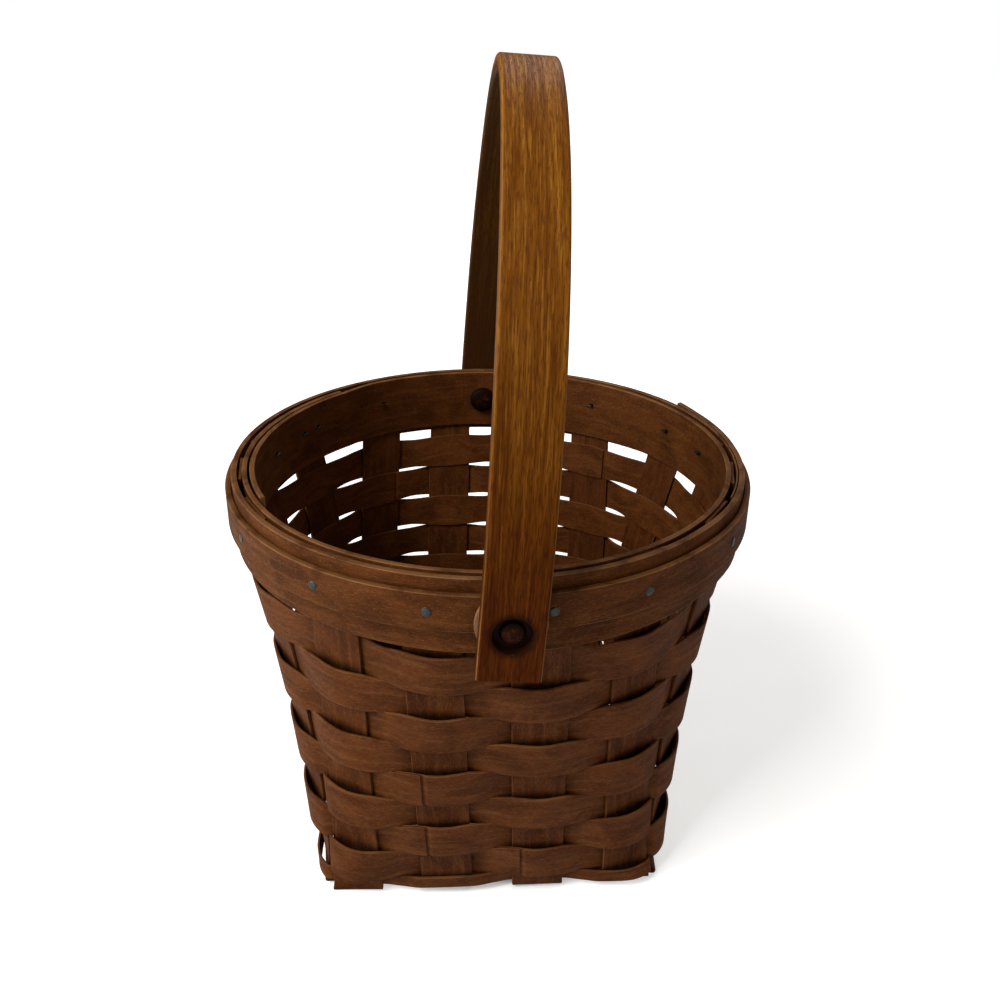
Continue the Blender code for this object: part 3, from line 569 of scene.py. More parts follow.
def stake_leg(number, level, flip, seed):
    """Edge points of one upright, from the rim down to the bottom's edge, and how much painted shade it has
    there.
    """
    bend = turn_up(level)
    way = -1 if flip else 1
    heights = np.linspace(RIM_HEIGHT - STAKE_TOP, bend[-1][2] + LEG_FOOT, LEG_STEPS)
    half_widths = STAKE_WIDTH / 2 - SHAVED * (1 + wobble(heights, 0.06, seed))
    stations = []
    for z, w in zip(heights, half_widths):
        near = min(abs(z - m) - (WEAVER_FULL_WIDTH if k else LOWEST_WIDTH) / 2
                   for k, m in enumerate(ROW_HEIGHTS) if (number + k) % 2)
        # painted shade on the stake beside the edges of the weavers that run over it
        shaded = SHADE_MOST * min(max(1 - near / SHADE_REACH, 0.0), 1.0) ** 0.8
        stations.append((*section(z), z, z, w, shaded))
    # a fixed share of painted shade in the bend
    stations += [(half, corner, z, 0.0, half_widths[-1], 0.3) for half, corner, z in reversed(bend)]
    left, right, shade_share = [], [], []
    for half, corner, z, twisted_at, w, shaded in stations:
        run = stake_run(number, twisted_at, quarter(half, corner))
        left.append(around(run - way * w, half, corner, z))
        right.append(around(run + way * w, half, corner, z))
        shade_share.append(shaded)
    return left, right, shade_share


def stake(name, index, crosswise, material):
    """One U-shaped splint: up one side, over and under across the bottom, and up the opposite side."""
    places = [(n - MIDDLE_PLACE) * STAKE_PITCH for n in range(STAKES_PER_SIDE)]
    last = STAKES_PER_SIDE - 1
    if crosswise:
        signs = [(-1) ** (k + index) for k in range(STAKES_PER_SIDE)][::-1]
        starts = (STAKES_PER_SIDE + index, 3 * STAKES_PER_SIDE + last - index)
    else:
        signs = [-(-1) ** (index + m) for m in range(STAKES_PER_SIDE)]
        starts = (index, 2 * STAKES_PER_SIDE + last - index)
    levels = [HIGH if sign > 0 else LOW for sign in (signs[0], signs[-1])]
    seed = 300 + 10 * index + (5 if crosswise else 0)
    left, right, shade_share = stake_leg(starts[0], levels[0], False, seed)
    far_left, far_right, far_shade_share = stake_leg(starts[1], levels[1], True, seed + 1)
    w = STAKE_WIDTH / 2 - SHAVED
    for along in np.linspace(places[0] - CROSS_REACH, places[-1] + CROSS_REACH, BOTTOM_STEPS):
        z = bottom_level(along, places, signs)
        for edge, beside in ((left, places[index] - w), (right, places[index] + w)):
            edge.append((-along, beside, z) if crosswise else (beside, along, z))
        # a fixed share of painted shade across the bottom
        shade_share.append(0.25)
    left += far_left[::-1]
    right += far_right[::-1]
    shade_share += far_shade_share[::-1]
    half = STAKE_THICK / 2
    return splint(name, left, right, -half, half, material, STAKE_SOFT, shade_share=shade_share, seed=seed)


# Pieces of the rim

def along_table(angle, table):
    """Value at an angle from pairs of angle and value, straight between them."""
    angles, values = zip(*table)
    return float(np.interp(angle, angles, values))


def layer(angle, rises, thick):
    """Rise and thickness of a lapped strip, its first end shaved to fit under its second."""
    second_pass = angle - 360.0
    if second_pass > rises[0][0]:
        return along_table(second_pass, rises), thick
    past_lap = max(0.0, angle - rises[-1][0] - LAP_START)
    return 0.0, min(thick, along_table(angle, rises) - GAP + THICKEN * past_lap)


def band(name, rises, low, high, depths, sag, material, seed):
    """Strip bent once round the rim and lapped over its own first end."""
    first = rises[1][0] + LAP_START
    last = first + (360.0 + rises[-1][0] - first)
    corners = [angle + whole for angle, _ in (*rises, *cover_table()) for whole in (0.0, 360.0)]
    corners = [angle for angle in corners if first < angle < last]
    plain = np.arange(first + 0.5, last - 0.3, 1.0).tolist()
    angles = np.array(sorted({first, last, *corners, *plain}))
    turns = np.radians(angles)
    lengths = turns * RIM_RADIUS
    lower = low + DRIFT * wobble(lengths, 0.11, seed)
    upper = high - BAND_SHAVED * (1 + wobble(lengths, 0.13, seed + 1))
    lower -= sag * np.clip(-np.cos(turns), 0, 1)
    x, y = RIM_RADIUS * np.sin(turns), -RIM_RADIUS * np.cos(turns)
    edges = [np.stack([x, y, heights], axis=1) for heights in (lower, upper)]
    inner, outer = zip(*[depths(angle) for angle in angles])
    return splint(name, *edges, inner, outer, material, BAND_SOFT, columns=10, seed=seed + 2)


def outer_depths(angle):
    """Depths of the outer band at an angle."""
    rise, thick = layer(angle, OUTER_RISE, OUTER_BAND_THICK)
    return OUTER_IN + rise, OUTER_IN + rise + thick


def inner_depths(angle):
    """Depths of the inner band at an angle."""
    rise, thick = layer(angle, INNER_RISE, INNER_BAND_THICK)
    return INNER_OUT - rise - thick, INNER_OUT - rise


def inner_face(angle):
    """Depth of the rim's innermost face, between -180 and 180 degrees."""
    start, end = INNER_RISE[0][0], INNER_RISE[-1][0]
    return INNER_IN - (along_table(angle, INNER_RISE) if start < angle < end else 0.0)


def cover_table():
    """How far the trim is lifted by the outer band's lap: angle and rise."""
    table = [(angle - COVER_EARLY, rise) for angle, rise in OUTER_RISE]
    end, top = OUTER_RISE[-1]
    return table + [(end + LAP_START, top), (end + LAP_START + COVER_END, 0.0)]


def trim_face(angle):
    """Depth of the trim's outer face, its own lap and the band's lap under it counted."""
    start, end = TRIM_RISE[0][0], TRIM_RISE[-1][0]
    own = along_table(angle, TRIM_RISE) if start < angle < end + LAP_START else 0.0
    return TRIM_OUT + own + along_table(angle, cover_table())


def trim_depths(angle):
    """Depths of the trim, which also rides over the outer band's lap."""
    rise, thick = layer(angle, TRIM_RISE, TRIM_THICK)
    rise += along_table(angle % 360.0, cover_table())
    return TRIM_IN + rise, TRIM_IN + rise + thick


def tack_axes(angle):
    """Outward and sideways directions of a tack."""
    turn = math.radians(angle)
    outward = np.array((math.sin(turn), -math.cos(turn), 0.0))
    return outward, np.array((math.cos(turn), math.sin(turn), 0.0))


def tack_angle(place, beside):
    """Angle of a tack from its stake and its place beside the stake's middle."""
    side_length = quarter(*section(TACK_HEIGHT))
    return math.degrees((stake_run(place, TACK_HEIGHT, side_length) + beside) / RIM_RADIUS)


def tack(name, angle, material, seed):
    """One tack: hammered head on the trim, shank through the rim, tip clenched inside."""
    steps = 16
    draw = np.random.default_rng(seed)
    outward, sideways = tack_axes(angle)
    up = np.array((0.0, 0.0, 1.0))
    centre = up * TACK_HEIGHT
    seat_turn = math.degrees(TACK_SEAT / RIM_RADIUS)
    tip_turn = math.degrees(TACK_TIP / RIM_RADIUS)
    seen_from_inside = angle - 360.0 if angle > 180.0 else angle
    seat = RIM_RADIUS + max(trim_face(angle + t) for t in (-seat_turn, seat_turn)) - SUNK_HEAD
    inside = RIM_RADIUS + min(inner_face(seen_from_inside + t) for t in (0.0, tip_turn))
    half = TACK_SHANK / 2
    bend = inside - GAP - half
    uneven = 1 + 0.07 * draw.uniform(-1, 1, steps)
    uneven = (uneven + np.roll(uneven, 1) + np.roll(uneven, -1)) / 3
    turns = [2 * math.pi * (n + 0.5) / steps for n in range(steps)]
    outline = [(math.cos(t), math.sin(t)) for t in turns]
    tilt = draw.uniform(-0.06, 0.06, 2)
    rings = []
    for share, rise in HEAD_RINGS:
        ring = []
        for (a, b), u in zip(outline, uneven):
            reach = seat + HEAD_HEIGHT * (rise + rise * (tilt[0] * a + tilt[1] * b))
            ring.append((reach, HEAD_RADIUS * share * u * a, HEAD_RADIUS * share * u * b))
        rings.append(ring)
    rings.append([(seat, half * a, half * b) for a, b in outline])
    rings.append([(bend + half * a, half * a, half * b) for a, b in outline])
    for share in (0.35, 0.7, 1.0):
        size = half * (1 - 0.62 * share)
        rings.append([(bend + size * a, TACK_TIP * share, size * b) for a, b in outline])
    vertices = [centre + outward * r + sideways * s + up * h for ring in rings for r, s, h in ring]
    vertices.append(centre + outward * (seat + HEAD_HEIGHT * 1.04))
    # painted shade: the rim of the head is marked dark, and the shank and tip as well
    dark = [0.0] * (2 * steps) + [0.35] * steps + [1.0] * ((len(rings) - 3) * steps) + [0.0]
    faces = quads(steps, len(rings))
    top = len(vertices) - 1
    faces += [[n, (n + 1) % steps, top] for n in range(steps)]
    faces.append([(len(rings) - 1) * steps + n for n in range(steps)])
    uvs = [(vertices[c] @ sideways + 0.01 * seed, vertices[c][2]) for face in faces for c in face]
    made = finish_mesh(name, vertices, faces, uvs, [0.0] * len(vertices), dark, material, sharp=60.0)
    face_outwards(made.data)
    return made


# Handle

def handle_path():
    """Points (across the basket, up from the pegs) along the middle of the bent strip."""
    middle = (LEG_IN + LEG_OUT) / 2
    rise = HANDLE_CROWN - HANDLE_THICK / 2 - HANDLE_STRAIGHT
    foot = [-HANDLE_FOOT, -HANDLE_FOOT + 0.00025]
    foot += np.linspace(-HANDLE_FOOT + 0.0015, HANDLE_STRAIGHT, FOOT_STEPS).tolist()
    arch = [(-middle, HANDLE_STRAIGHT)]
    for t in np.linspace(0, math.pi, ARCH_FINE)[1:-1]:
        out = math.copysign(middle * abs(math.cos(t)) ** (2 / HANDLE_POWER), math.cos(t))
        arch.append((-out, HANDLE_STRAIGHT + rise * math.sin(t) ** (2 / HANDLE_POWER)))
    arch = np.array(arch + [(middle, HANDLE_STRAIGHT)])
    lengths = run_lengths(arch)
    reads = np.linspace(0, lengths[-1], ARCH_STEPS)[1:-1]
    arch = [(np.interp(read, lengths, arch[:, 0]), np.interp(read, lengths, arch[:, 1])) for read in reads]
    return np.array([(-middle, z) for z in foot] + arch + [(middle, z) for z in foot[::-1]])


def handle(name, material):
    """Bent strip: two upright feet under one arch, leaning as the photograph shows."""
    path = handle_path()
    lengths = run_lengths(path)
    wave = wobble(lengths, 0.12, 7)
    edge = HANDLE_EDGE
    arc = [(math.sin(math.radians(a)), math.cos(math.radians(a))) for a in (0, 22.5, 45, 67.5, 90)]
    vertices = []
    wear_and_highlight = []
    inside = []
    rounds = []
    last = len(path) - 1
    for k, ((y, z), (ty, tz)) in enumerate(zip(path, unit(np.gradient(path, axis=0)))):
        shrink = edge * 0.25 if k in (0, last) else 0.0
        wide = HANDLE_WIDTH / 2 - shrink - HANDLE_SHAVED * (1 + wave[k])
        deep = HANDLE_THICK / 2 - shrink
        flat, low = wide - edge, deep - edge
        places = [-flat] + np.linspace(-flat + 0.0005, flat - 0.0005, 7).tolist() + [flat]
        ring = [(place, deep) for place in places]
        ring += [(flat + edge * s, low + edge * c) for s, c in arc[1:]]
        ring += [(flat + edge * c, -low - edge * s) for s, c in arc]
        ring += [(-place, -deep) for place in places[1:]]
        ring += [(-flat - edge * s, -low - edge * c) for s, c in arc[1:]]
        ring += [(-flat - edge * c, low + edge * s) for s, c in arc[:-1]]
        rounds.append(ring_lengths(ring))
        for x, out in ring:
            up = z + out * ty
            vertices.append((PEG_SIDE + x * math.cos(HANDLE_LEAN) + up * math.sin(HANDLE_LEAN), y - out * tz,
                             PEG_HEIGHT - x * math.sin(HANDLE_LEAN) + up * math.cos(HANDLE_LEAN)))
            slanted = min(max(abs(x) - flat, 0.0), max(abs(out) - low, 0.0)) / edge
            # rounded edges get pale wear, partly a painted highlight
            wear_and_highlight.append(1.0 if slanted > 0.5 else 0.0)
            # painted shade on the arch's inner face
            inside.append(1.0 if out < -0.3 * deep else 0.0)
    faces, uvs = skin(lengths, rounds)
    made = finish_mesh(name, vertices, faces, uvs, wear_and_highlight, inside, material)
    face_outwards(made.data)
    return made


def peg_outline():
    """Outline of a peg: domed head inside the rim, shank, softened end in the counterbore."""
    head = RIM_RADIUS + INNER_IN - PEG_HEAD_RADIUS ** 2 / (2 * RIM_RADIUS) - GAP
    end = LEG_OUT - PEG_SUNK
    dome = [(PEG_HEAD_RADIUS * math.sin(math.radians(a)),
             head - 0.35 * PEG_HEAD_LENGTH - 0.65 * PEG_HEAD_LENGTH * math.cos(math.radians(a)))
            for a in range(0, 91, 9)]
    return [*dome, (PEG_HEAD_RADIUS, head - TURNED_SOFT), (PEG_HEAD_RADIUS - TURNED_SOFT, head),
            (PEG_RADIUS, head), (PEG_RADIUS, end - 2 * TURNED_SOFT), (PEG_RADIUS - 0.0002, end - 0.0002),
            (PEG_RADIUS - 2 * TURNED_SOFT, end), (0.4 * PEG_RADIUS, end + 0.0001), (0, end + 0.0001)]


def spacer_outline():
    """Outline of a spacer: a washer with its outer edges softened."""
    near = RIM_FACE + GAP
    far = near + SPACER_THICK
    soft, bevel = TURNED_SOFT, 0.3 * TURNED_SOFT
    return [(BORE_RADIUS, near), (SPACER_RADIUS - soft, near), (SPACER_RADIUS - bevel, near + bevel),
            (SPACER_RADIUS, near + soft), (SPACER_RADIUS, far - soft), (SPACER_RADIUS - bevel, far - bevel),
            (SPACER_RADIUS - soft, far), (BORE_RADIUS, far)]


# Materials

def colour(red, green, blue):
    """Linear colour from what a picture shows, 0 to 255."""
    channels = [((v / 255 + 0.055) / 1.055) ** 2.4 if v > 10 else v / 255 / 12.92 for v in (red, green, blue)]
    return (*channels, 1.0)


class Tree:
    """Short way to put nodes into a material."""

    def __init__(self, name):
        self.material = bpy.data.materials.new(name)
        self.material.use_nodes = True
        self.nodes = self.material.node_tree.nodes
        self.links = self.material.node_tree.links
        self.shader = self.nodes["Principled BSDF"]

    def add(self, kind, **settings):
        """New node with its settings."""
        node = self.nodes.new(kind)
        for key, value in settings.items():
            setattr(node, key, value)
        return node

    def join(self, source, target):
        """Link from an output to an input."""
        self.links.new(source, target)

    def feed(self, value, target):
        """Puts a number, a colour (three numbers as a picture shows it) or an output into an input."""
        if isinstance(value, tuple) and len(value) == 3:
            value = colour(*value)
        if isinstance(value, (int, float, tuple)):
            target.default_value = value
        else:
            self.join(value, target)

    def place(self):
        """Position on the object, in metres."""
        return self.add("ShaderNodeTexCoord").outputs["Object"]

    def noise(self, vector, scale, detail=3.0, rough=0.55, warp=0.0):
        """Noise between 0 and 1."""
        node = self.add("ShaderNodeTexNoise")
        for key, number in (("Scale", scale), ("Detail", detail), ("Roughness", rough), ("Distortion", warp)):
            node.inputs[key].default_value = number
        self.join(vector, node.inputs["Vector"])
        return node.outputs["Fac"]

    def grain(self, along, across, detail=3.0, rough=0.55, warp=0.0):
        """Noise drawn out along the wood's own length, from how fine it is along and across, per metre."""
        mapping = self.add("ShaderNodeMapping")
        mapping.inputs["Scale"].default_value = (along, across, 1.0)
        self.join(self.add("ShaderNodeUVMap", uv_map=GRAIN_MAP).outputs["UV"], mapping.inputs["Vector"])
        return self.noise(mapping.outputs["Vector"], 1.0, detail, rough, warp)

    def ramp(self, value, low, high, to_low=0.0, to_high=1.0, shape="SMOOTHSTEP"):
        """Value moved from one range to another and held inside it."""
        node = self.add("ShaderNodeMapRange", interpolation_type=shape)
        for key, number in (("From Min", low), ("From Max", high), ("To Min", to_low), ("To Max", to_high)):
            node.inputs[key].default_value = number
        self.join(value, node.inputs["Value"])
        return node.outputs["Result"]

    def maths(self, operation, first, second):
        """Sum, product and the like of two values or a value and a number."""
        node = self.add("ShaderNodeMath", operation=operation)
        self.feed(first, node.inputs[0])
        self.feed(second, node.inputs[1])
        return node.outputs["Value"]

    def mix(self, factor, first, second, blend="MIX"):
        """Mix of two colours."""
        node = self.add("ShaderNodeMix", data_type="RGBA", blend_type=blend)
        for key, value in ((0, factor), (6, first), (7, second)):
            self.feed(value, node.inputs[key])
        return node.outputs[2]

    def over(self, tone, other, value, low, high, amount=1.0):
        """Another colour laid over a tone where a value runs from low to high."""
        share = self.ramp(value, low, high)
        if amount != 1.0:
            share = self.maths("MULTIPLY", share, amount)
        return self.mix(share, tone, other)

    def marked(self, tone, other, key, amount):
        """Another colour laid over a tone where the mesh is marked."""
        mark = self.add("ShaderNodeAttribute", attribute_name=key).outputs["Fac"]
        return self.mix(self.maths("MULTIPLY", mark, amount), tone, other)

    def from_pegs(self):
        """Distance from the pegs' line, and height."""
        apart = self.add("ShaderNodeSeparateXYZ")
        self.join(self.place(), apart.inputs["Vector"])
        x = self.maths("SUBTRACT", apart.outputs["X"], PEG_SIDE)
        z = self.maths("SUBTRACT", apart.outputs["Z"], PEG_HEIGHT)
        squares = self.maths("ADD", self.maths("MULTIPLY", x, x), self.maths("MULTIPLY", z, z))
        return self.maths("POWER", squares, 0.5), apart.outputs["Z"]

    def surface(self, tone, rough, height, strength, distance, **constants):
        """Colour, roughness, relief and constant values of the surface; gives the finished material."""
        self.join(tone, self.shader.inputs["Base Color"])
        self.join(rough, self.shader.inputs["Roughness"])
        for key, number in constants.items():
            self.shader.inputs[key.replace("_", " ")].default_value = number
        node = self.add("ShaderNodeBump")
        node.inputs["Strength"].default_value = strength
        node.inputs["Distance"].default_value = distance
        self.join(height, node.inputs["Height"])
        self.join(node.outputs["Normal"], self.shader.inputs["Normal"])
        return self.material


def splint_material(name, tones):
    """Stained splint: fine short fibres, soft broad clouds and small flecks, with pale worn edges that are
    partly a painted highlight and painted shade where the mesh is marked.
    """
    dark, base, light, fleck_wear_and_highlight_tone, fleck_and_shade_tone = tones
    tree = Tree(name)
    fibre = tree.grain(600.0, 3200.0, 3.0, 0.65)
    streak = tree.grain(50.0, 520.0, 3.0, 0.55, 0.2)
    cloud = tree.grain(70.0, 110.0, 4.0, 0.6, 0.7)
    fleck = tree.grain(1500.0, 2600.0, 2.0, 0.6)
    tone = tree.over(dark, base, cloud, 0.30, 0.66)
    tone = tree.over(tone, light, streak, 0.46, 0.74, 0.38)
    tone = tree.over(tone, dark, fibre, 0.50, 0.36, 0.55)
    tone = tree.over(tone, light, fibre, 0.54, 0.68, 0.55)
    tone = tree.over(tone, fleck_and_shade_tone, fleck, 0.58, 0.70, 0.45)
    tone = tree.over(tone, fleck_wear_and_highlight_tone, fleck, 0.38, 0.28, 0.35)
    # pale worn edges, partly a painted highlight
    tone = tree.marked(tone, fleck_wear_and_highlight_tone, "wear_and_highlight", tree.ramp(cloud, 0.32, 0.62, 0.15, 0.85))
    # painted shade where the mesh is marked
    tone = tree.marked(tone, fleck_and_shade_tone, "painted_shade", tree.ramp(streak, 0.2, 0.75, 0.95, 0.6))
    rough = tree.ramp(tree.maths("ADD", fibre, streak), 0.6, 1.4, 0.70, 0.52)
    height = tree.maths("ADD", fibre, tree.maths("MULTIPLY", streak, 0.6))
    return tree.surface(tone, rough, height, 0.5, 0.00012, Specular_IOR_Level=0.06)


def handle_material(name):
    """Open-grained bent wood: long streaks, dark pores, darker round the pegs and low on the legs; the
    darkening low on the legs, on the arch's inner face and in the counterbores is painted shade, and its pale
    worn edges are partly a painted highlight.
    """
    tree = Tree(name)
    broad = tree.grain(7.0, 170.0, 3.0, 0.5, 0.8)
    streak = tree.grain(40.0, 1100.0, 4.0, 0.6, 0.3)
    pore = tree.grain(230.0, 2300.0, 3.0, 0.5, 0.3)
    blotch = tree.grain(18.0, 40.0, 3.0, 0.5, 0.4)
    tone = tree.over((104, 58, 12), (138, 86, 24), broad, 0.32, 0.66)
    tone = tree.over(tone, (160, 106, 38), streak, 0.50, 0.66, 0.65)
    tone = tree.over(tone, (80, 40, 6), streak, 0.47, 0.32, 0.62)
    tone = tree.over(tone, (76, 38, 6), pore, 0.50, 0.58, 0.50)
    tone = tree.over(tone, (88, 44, 8), blotch, 0.5, 0.72, 0.35)
    away, up = tree.from_pegs()
    stain = tree.maths("ADD", away, tree.maths("MULTIPLY", blotch, 0.0030))
    tone = tree.over(tone, (34, 14, 2), stain, 0.0090, 0.0064, 0.8)
    # painted shade: the legs grow darker towards their feet
    low = tree.ramp(up, PEG_HEIGHT + 0.105, PEG_HEIGHT - 0.004)
    tone = tree.mix(low, tone, (0.30, 0.17, 0.06, 1.0), "MULTIPLY")
    # pale worn edges, partly a painted highlight
    tone = tree.marked(tone, (150, 104, 56), "wear_and_highlight", tree.ramp(blotch, 0.36, 0.60, 0.15, 0.7))
    # painted shade on the arch's inner face
    tone = tree.marked(tone, (46, 27, 12), "painted_shade", 0.80)
    # painted shade inside the counterbores
    counterbore_shade = tree.over((20, 7, 2), (52, 22, 7), streak, 0.40, 0.62)
    tone = tree.over(tone, counterbore_shade, away, 0.0058, 0.0053)
    rough = tree.ramp(streak, 0.3, 0.7, 0.50, 0.36)
    height = tree.maths("SUBTRACT", tree.maths("MULTIPLY", streak, 0.5), tree.ramp(pore, 0.55, 0.68))
    return tree.surface(tone, rough, height, 0.5, 0.00015, Specular_IOR_Level=0.03)


def peg_material(name, base, dark, light):
    """Turned wood with soft streaks, darker towards its rim; on a peg's end that darkening is painted shade
    in the counterbore.
    """
    tree = Tree(name)
    away, _ = tree.from_pegs()
    fine = tree.noise(tree.place(), 900.0, 4.0, 0.6)
    soft = tree.noise(tree.place(), 260.0, 3.0, 0.5)
    tone = tree.over(dark, base, soft, 0.35, 0.65)
    tone = tree.over(tone, light, fine, 0.52, 0.68, 0.6)
    # painted shade towards the rim of a peg's end, in its counterbore
    rim = tree.maths("ADD", away, tree.maths("MULTIPLY", soft, 0.0015))
    tone = tree.over(tone, dark, rim, 0.0026, 0.0044)
    rough = tree.ramp(fine, 0.3, 0.7, 0.65, 0.45)
    return tree.surface(tone, rough, fine, 0.6, 0.00025, Specular_IOR_Level=0.04)


def tack_material(name):
    """Blued steel tack, dull, with painted shade darkening the rim of its head; its shank and tip are
    darkened the same way.
    """
    tree = Tree(name)
    fine = tree.noise(tree.place(), 1500.0, 4.0, 0.6)
    soft = tree.noise(tree.place(), 500.0, 3.0, 0.5)
    tone = tree.over((36, 40, 40), (66, 72, 70), soft, 0.35, 0.65)
    tone = tree.over(tone, (38, 30, 24), fine, 0.50, 0.66, 0.7)
    # painted shade at the rim of the head, and a dark shank and tip
    tone = tree.marked(tone, (20, 14, 10), "painted_shade", 0.92)
    rough = tree.ramp(fine, 0.3, 0.7, 0.35, 0.6)
    return tree.surface(tone, rough, fine, 0.4, 0.0001, Metallic=0.35)


# Every piece in its place

def stand_in(piece, node, body):
    """A detailed piece takes a CAD node's place."""
    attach(piece, body)
    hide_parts(node)


def build_weave():
    """Makes the stakes and the weavers."""
    stakes = splint_material("splint_stake", STAKE_STAIN)
    weave = splint_material("splint_weaver", WEAVER_STAIN)
    for index in range(STAKES_PER_SIDE):
        for kind, crosswise in (("long", False), ("cross", True)):
            node = "stake_%s_%d" % (kind, index + 1)
            stand_in(stake(node + "_detail", index, crosswise, stakes), node, "basket")
    for row in range(WEAVER_ROWS):
        node = "weaver_%d" % (row + 1)
        stand_in(weaver(node + "_detail", row, weave), node, "basket")


def rim_holes():
    """Cutter for the pegs' holes and for the square holes of the tacks."""
    side = TACK_SHANK / 2 + GAP
    runs = [[ring_at(BORE_RADIUS, -0.1, 1, 48), ring_at(BORE_RADIUS, 0.1, 1, 48)]]
    deepest = RIM_RADIUS + INNER_IN - max(rise for _, rise in INNER_RISE)
    highest = RIM_RADIUS + TRIM_OUT + max(rise for _, rise in OUTER_RISE)
    for place, beside in TACKS:
        outward, sideways = tack_axes(tack_angle(place, beside))
        rings = []
        for reach in (deepest - 0.002, highest + 0.002):
            rings.append([outward * reach + sideways * side * a + np.array((0, 0, TACK_HEIGHT + side * b))
                          for a, b in ((-1, -1), (1, -1), (1, 1), (-1, 1))])
        runs.append(rings)
    return cutter("holes", runs)


def build_rim():
    """Makes the bands, the trim and the tacks."""
    rim = splint_material("splint_band", BAND_STAIN)
    steel = tack_material("tack_steel")
    holes = rim_holes()
    rows = (("outer_band", OUTER_RISE, BAND_FOOT, RIM_HEIGHT, outer_depths, OUTER_SAG, 500),
            ("inner_band", INNER_RISE, BAND_FOOT, RIM_HEIGHT, inner_depths, 0.0, 520),
            ("trim_strip", TRIM_RISE, TRIM_TOP - TRIM_HEIGHT, TRIM_TOP, trim_depths, 0.0, 540))
    for node, rises, low, high, depths, sag, seed in rows:
        piece = band(node + "_detail", rises, low, high, depths, sag, rim, seed)
        carve(piece, holes)
        stand_in(piece, node, "basket")
    bpy.data.objects.remove(holes)
    for number, (place, beside) in enumerate(TACKS):
        node = "tack_%02d" % (number + 1)
        piece = tack(node + "_detail", tack_angle(place, beside), steel, number)
        stand_in(piece, node, "basket")


def build_handle():
    """Makes the handle, its pegs and its spacers."""
    bail = handle("handle_detail", handle_material("bent_wood"))
    seat = LEG_OUT - COUNTERBORE_DEPTH
    mouth = ((BORE_RADIUS, LEG_IN - 0.003), (BORE_RADIUS, seat), (COUNTERBORE_RADIUS, seat),
             (COUNTERBORE_RADIUS, LEG_OUT - BORE_SOFT),
             (COUNTERBORE_RADIUS + 0.3 * BORE_SOFT, LEG_OUT - 0.3 * BORE_SOFT),
             (COUNTERBORE_RADIUS + 1.2 * BORE_SOFT, LEG_OUT + 0.2 * BORE_SOFT),
             (COUNTERBORE_RADIUS + 1.2 * BORE_SOFT, LEG_OUT + 0.003))
    bores = cutter("bores", [[ring_at(*place, way, TURNED_STEPS) for place in mouth] for way in (-1, 1)])
    carve(bail, bores)
    bpy.data.objects.remove(bores)
    stand_in(bail, "handle", "swing_handle")

    wood = peg_material("peg_wood", (46, 18, 6), (20, 7, 2), (84, 42, 18))
    pale = peg_material("spacer_wood", (164, 126, 92), (120, 84, 56), (188, 152, 116))
    for node, way in (("front", -1), ("back", 1)):
        peg = turned("peg_%s_detail" % node, peg_outline(), way, wood)
        stand_in(peg, "peg_" + node, "basket")
        washer = turned("spacer_%s_detail" % node, spacer_outline(), way, pale)
        stand_in(washer, "spacer_" + node, "basket")


# Stage, light and camera

def stage_it():
    """Pale floor that reads as white, with the object's soft shadow."""
    size, low = 6.0, -0.0002
    mesh = bpy.data.meshes.new("floor")
    corners = ((-size, -size, low), (size, -size, low), (size, size, low), (-size, size, low))
    mesh.from_pydata(corners, [], [(0, 1, 2, 3)])
    floor = add_object("floor", mesh)
    tree = Tree("floor_paper")
    tree.shader.inputs["Base Color"].default_value = (0.80, 0.80, 0.79, 1)
    tree.shader.inputs["Roughness"].default_value = 0.9
    tree.shader.inputs["Specular IOR Level"].default_value = 0.1
    # For the camera alone the floor also glows, painted light that grows with distance from the basket and is
    # nil under it, so that it reads as white beside the object's shadow
    away = tree.add("ShaderNodeVectorMath", operation="LENGTH")
    tree.join(tree.place(), away.inputs[0])
    brighter = tree.ramp(away.outputs["Value"], 0.15, 1.2, 0.0, 0.65, "LINEAR")
    outside = tree.ramp(away.outputs["Value"], 0.048, 0.064, 0.0, 0.52, "LINEAR")
    seen = tree.add("ShaderNodeLightPath").outputs["Is Camera Ray"]
    glow = tree.add("ShaderNodeEmission")
    glow.inputs["Color"].default_value = (1, 1, 1, 1)
    tree.join(tree.maths("MULTIPLY", seen, tree.maths("ADD", brighter, outside)), glow.inputs["Strength"])
    both = tree.add("ShaderNodeAddShader")
    tree.join(tree.shader.outputs["BSDF"], both.inputs[0])
    tree.join(glow.outputs["Emission"], both.inputs[1])
    tree.join(both.outputs["Shader"], tree.nodes["Material Output"].inputs["Surface"])
    mesh.materials.append(tree.material)


def lamp(name, place, aim, size, power, tint):
    """Soft square lamp aimed at a point."""
    data = bpy.data.lights.new(name, "AREA")
    data.shape = "SQUARE"
    data.size = size
    data.energy = power
    data.color = tint
    thing = add_object(name, data)
    thing.location = place
    thing.rotation_euler = (Vector(aim) - Vector(place)).to_track_quat("-Z", "Y").to_euler()


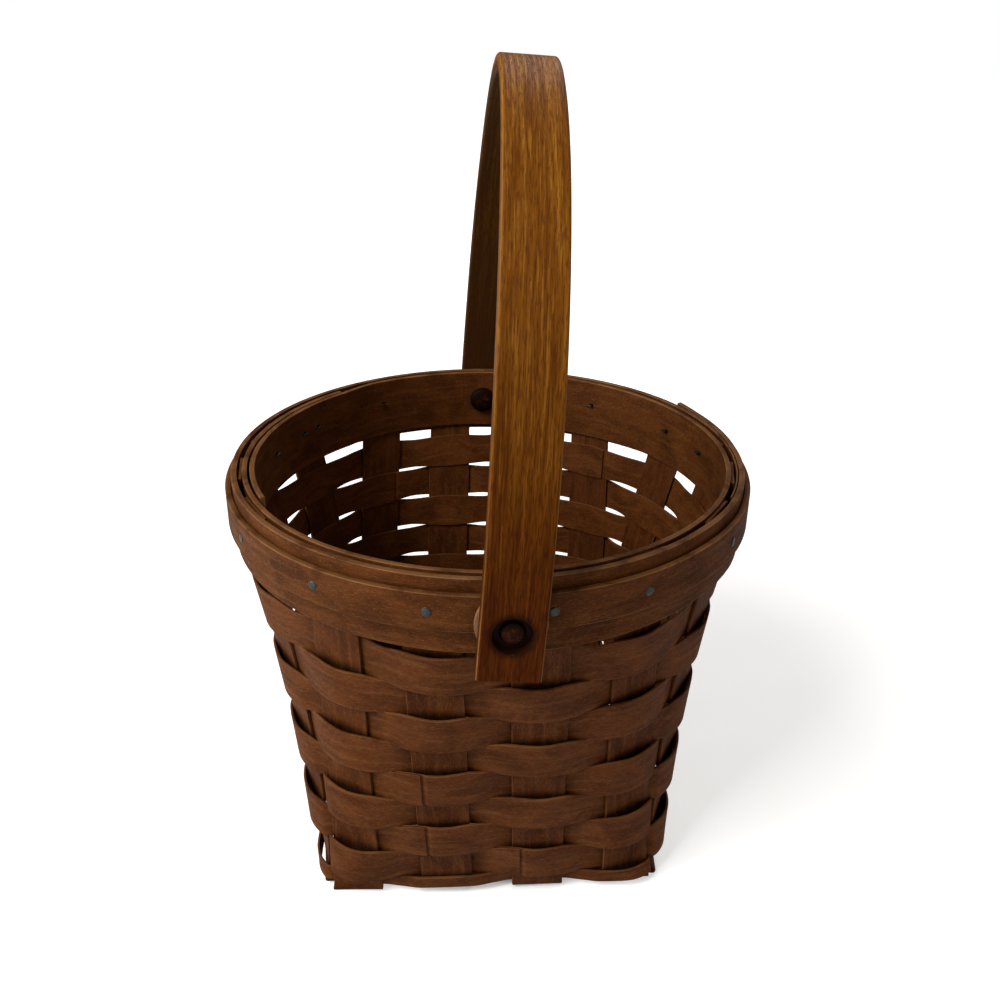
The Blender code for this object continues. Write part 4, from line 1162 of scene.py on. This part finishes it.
def light_it():
    """Soft studio light and a white world for what the camera sees."""
    world = bpy.data.worlds.new("studio")
    bpy.context.scene.world = world
    world.use_nodes = True
    nodes, links = world.node_tree.nodes, world.node_tree.links
    nodes.clear()
    path = nodes.new("ShaderNodeLightPath")
    mix = nodes.new("ShaderNodeMixShader")
    links.new(path.outputs["Is Camera Ray"], mix.inputs["Fac"])
    for place, strength in ((1, 0.15), (2, 1.0)):
        white = nodes.new("ShaderNodeBackground")
        white.inputs["Color"].default_value = (1, 1, 1, 1)
        white.inputs["Strength"].default_value = strength
        links.new(white.outputs["Background"], mix.inputs[place])
    links.new(mix.outputs["Shader"], nodes.new("ShaderNodeOutputWorld").inputs["Surface"])
    centre = (0, 0, 0.11)
    lamp("key", (-0.66, -0.50, 1.05), centre, 0.50, 13.5, (0.98, 0.98, 0.98))
    lamp("fill", (0.90, -0.75, 0.45), centre, 0.60, 1.9, (1.0, 0.78, 0.54))
    lamp("side", (-1.05, -0.30, 0.30), centre, 0.50, 7.0, (0.92, 0.98, 1.0))
    lamp("back", (0.35, 0.80, 1.05), centre, 0.60, 4.5, (1.0, 0.98, 0.96))


def camera_it():
    """Camera at the photograph's angle."""
    azimuth, elevation, roll = math.radians(-2.96), math.radians(23.43), math.radians(0.36)
    distance = 0.32505
    target = Vector((0, 0, 0.1371))
    back = Vector((math.sin(azimuth) * math.cos(elevation), -math.cos(azimuth) * math.cos(elevation),
                   math.sin(elevation)))
    data = bpy.data.cameras.new("camera")
    data.sensor_width = 36.0
    data.lens = 35.0
    data.shift_x = 0.0134
    data.shift_y = -0.0535
    data.clip_start = 0.01
    data.clip_end = 50.0
    thing = add_object("camera", data)
    turn = (-back).to_track_quat("-Z", "Y").to_matrix() @ Matrix.Rotation(roll, 3, "Z")
    thing.matrix_world = Matrix.Translation(target + back * distance) @ turn.to_4x4()
    bpy.context.scene.camera = thing


build_weave()
build_rim()
build_handle()
stage_it()
light_it()
camera_it()
bpy.context.scene.view_settings.view_transform = "Standard"
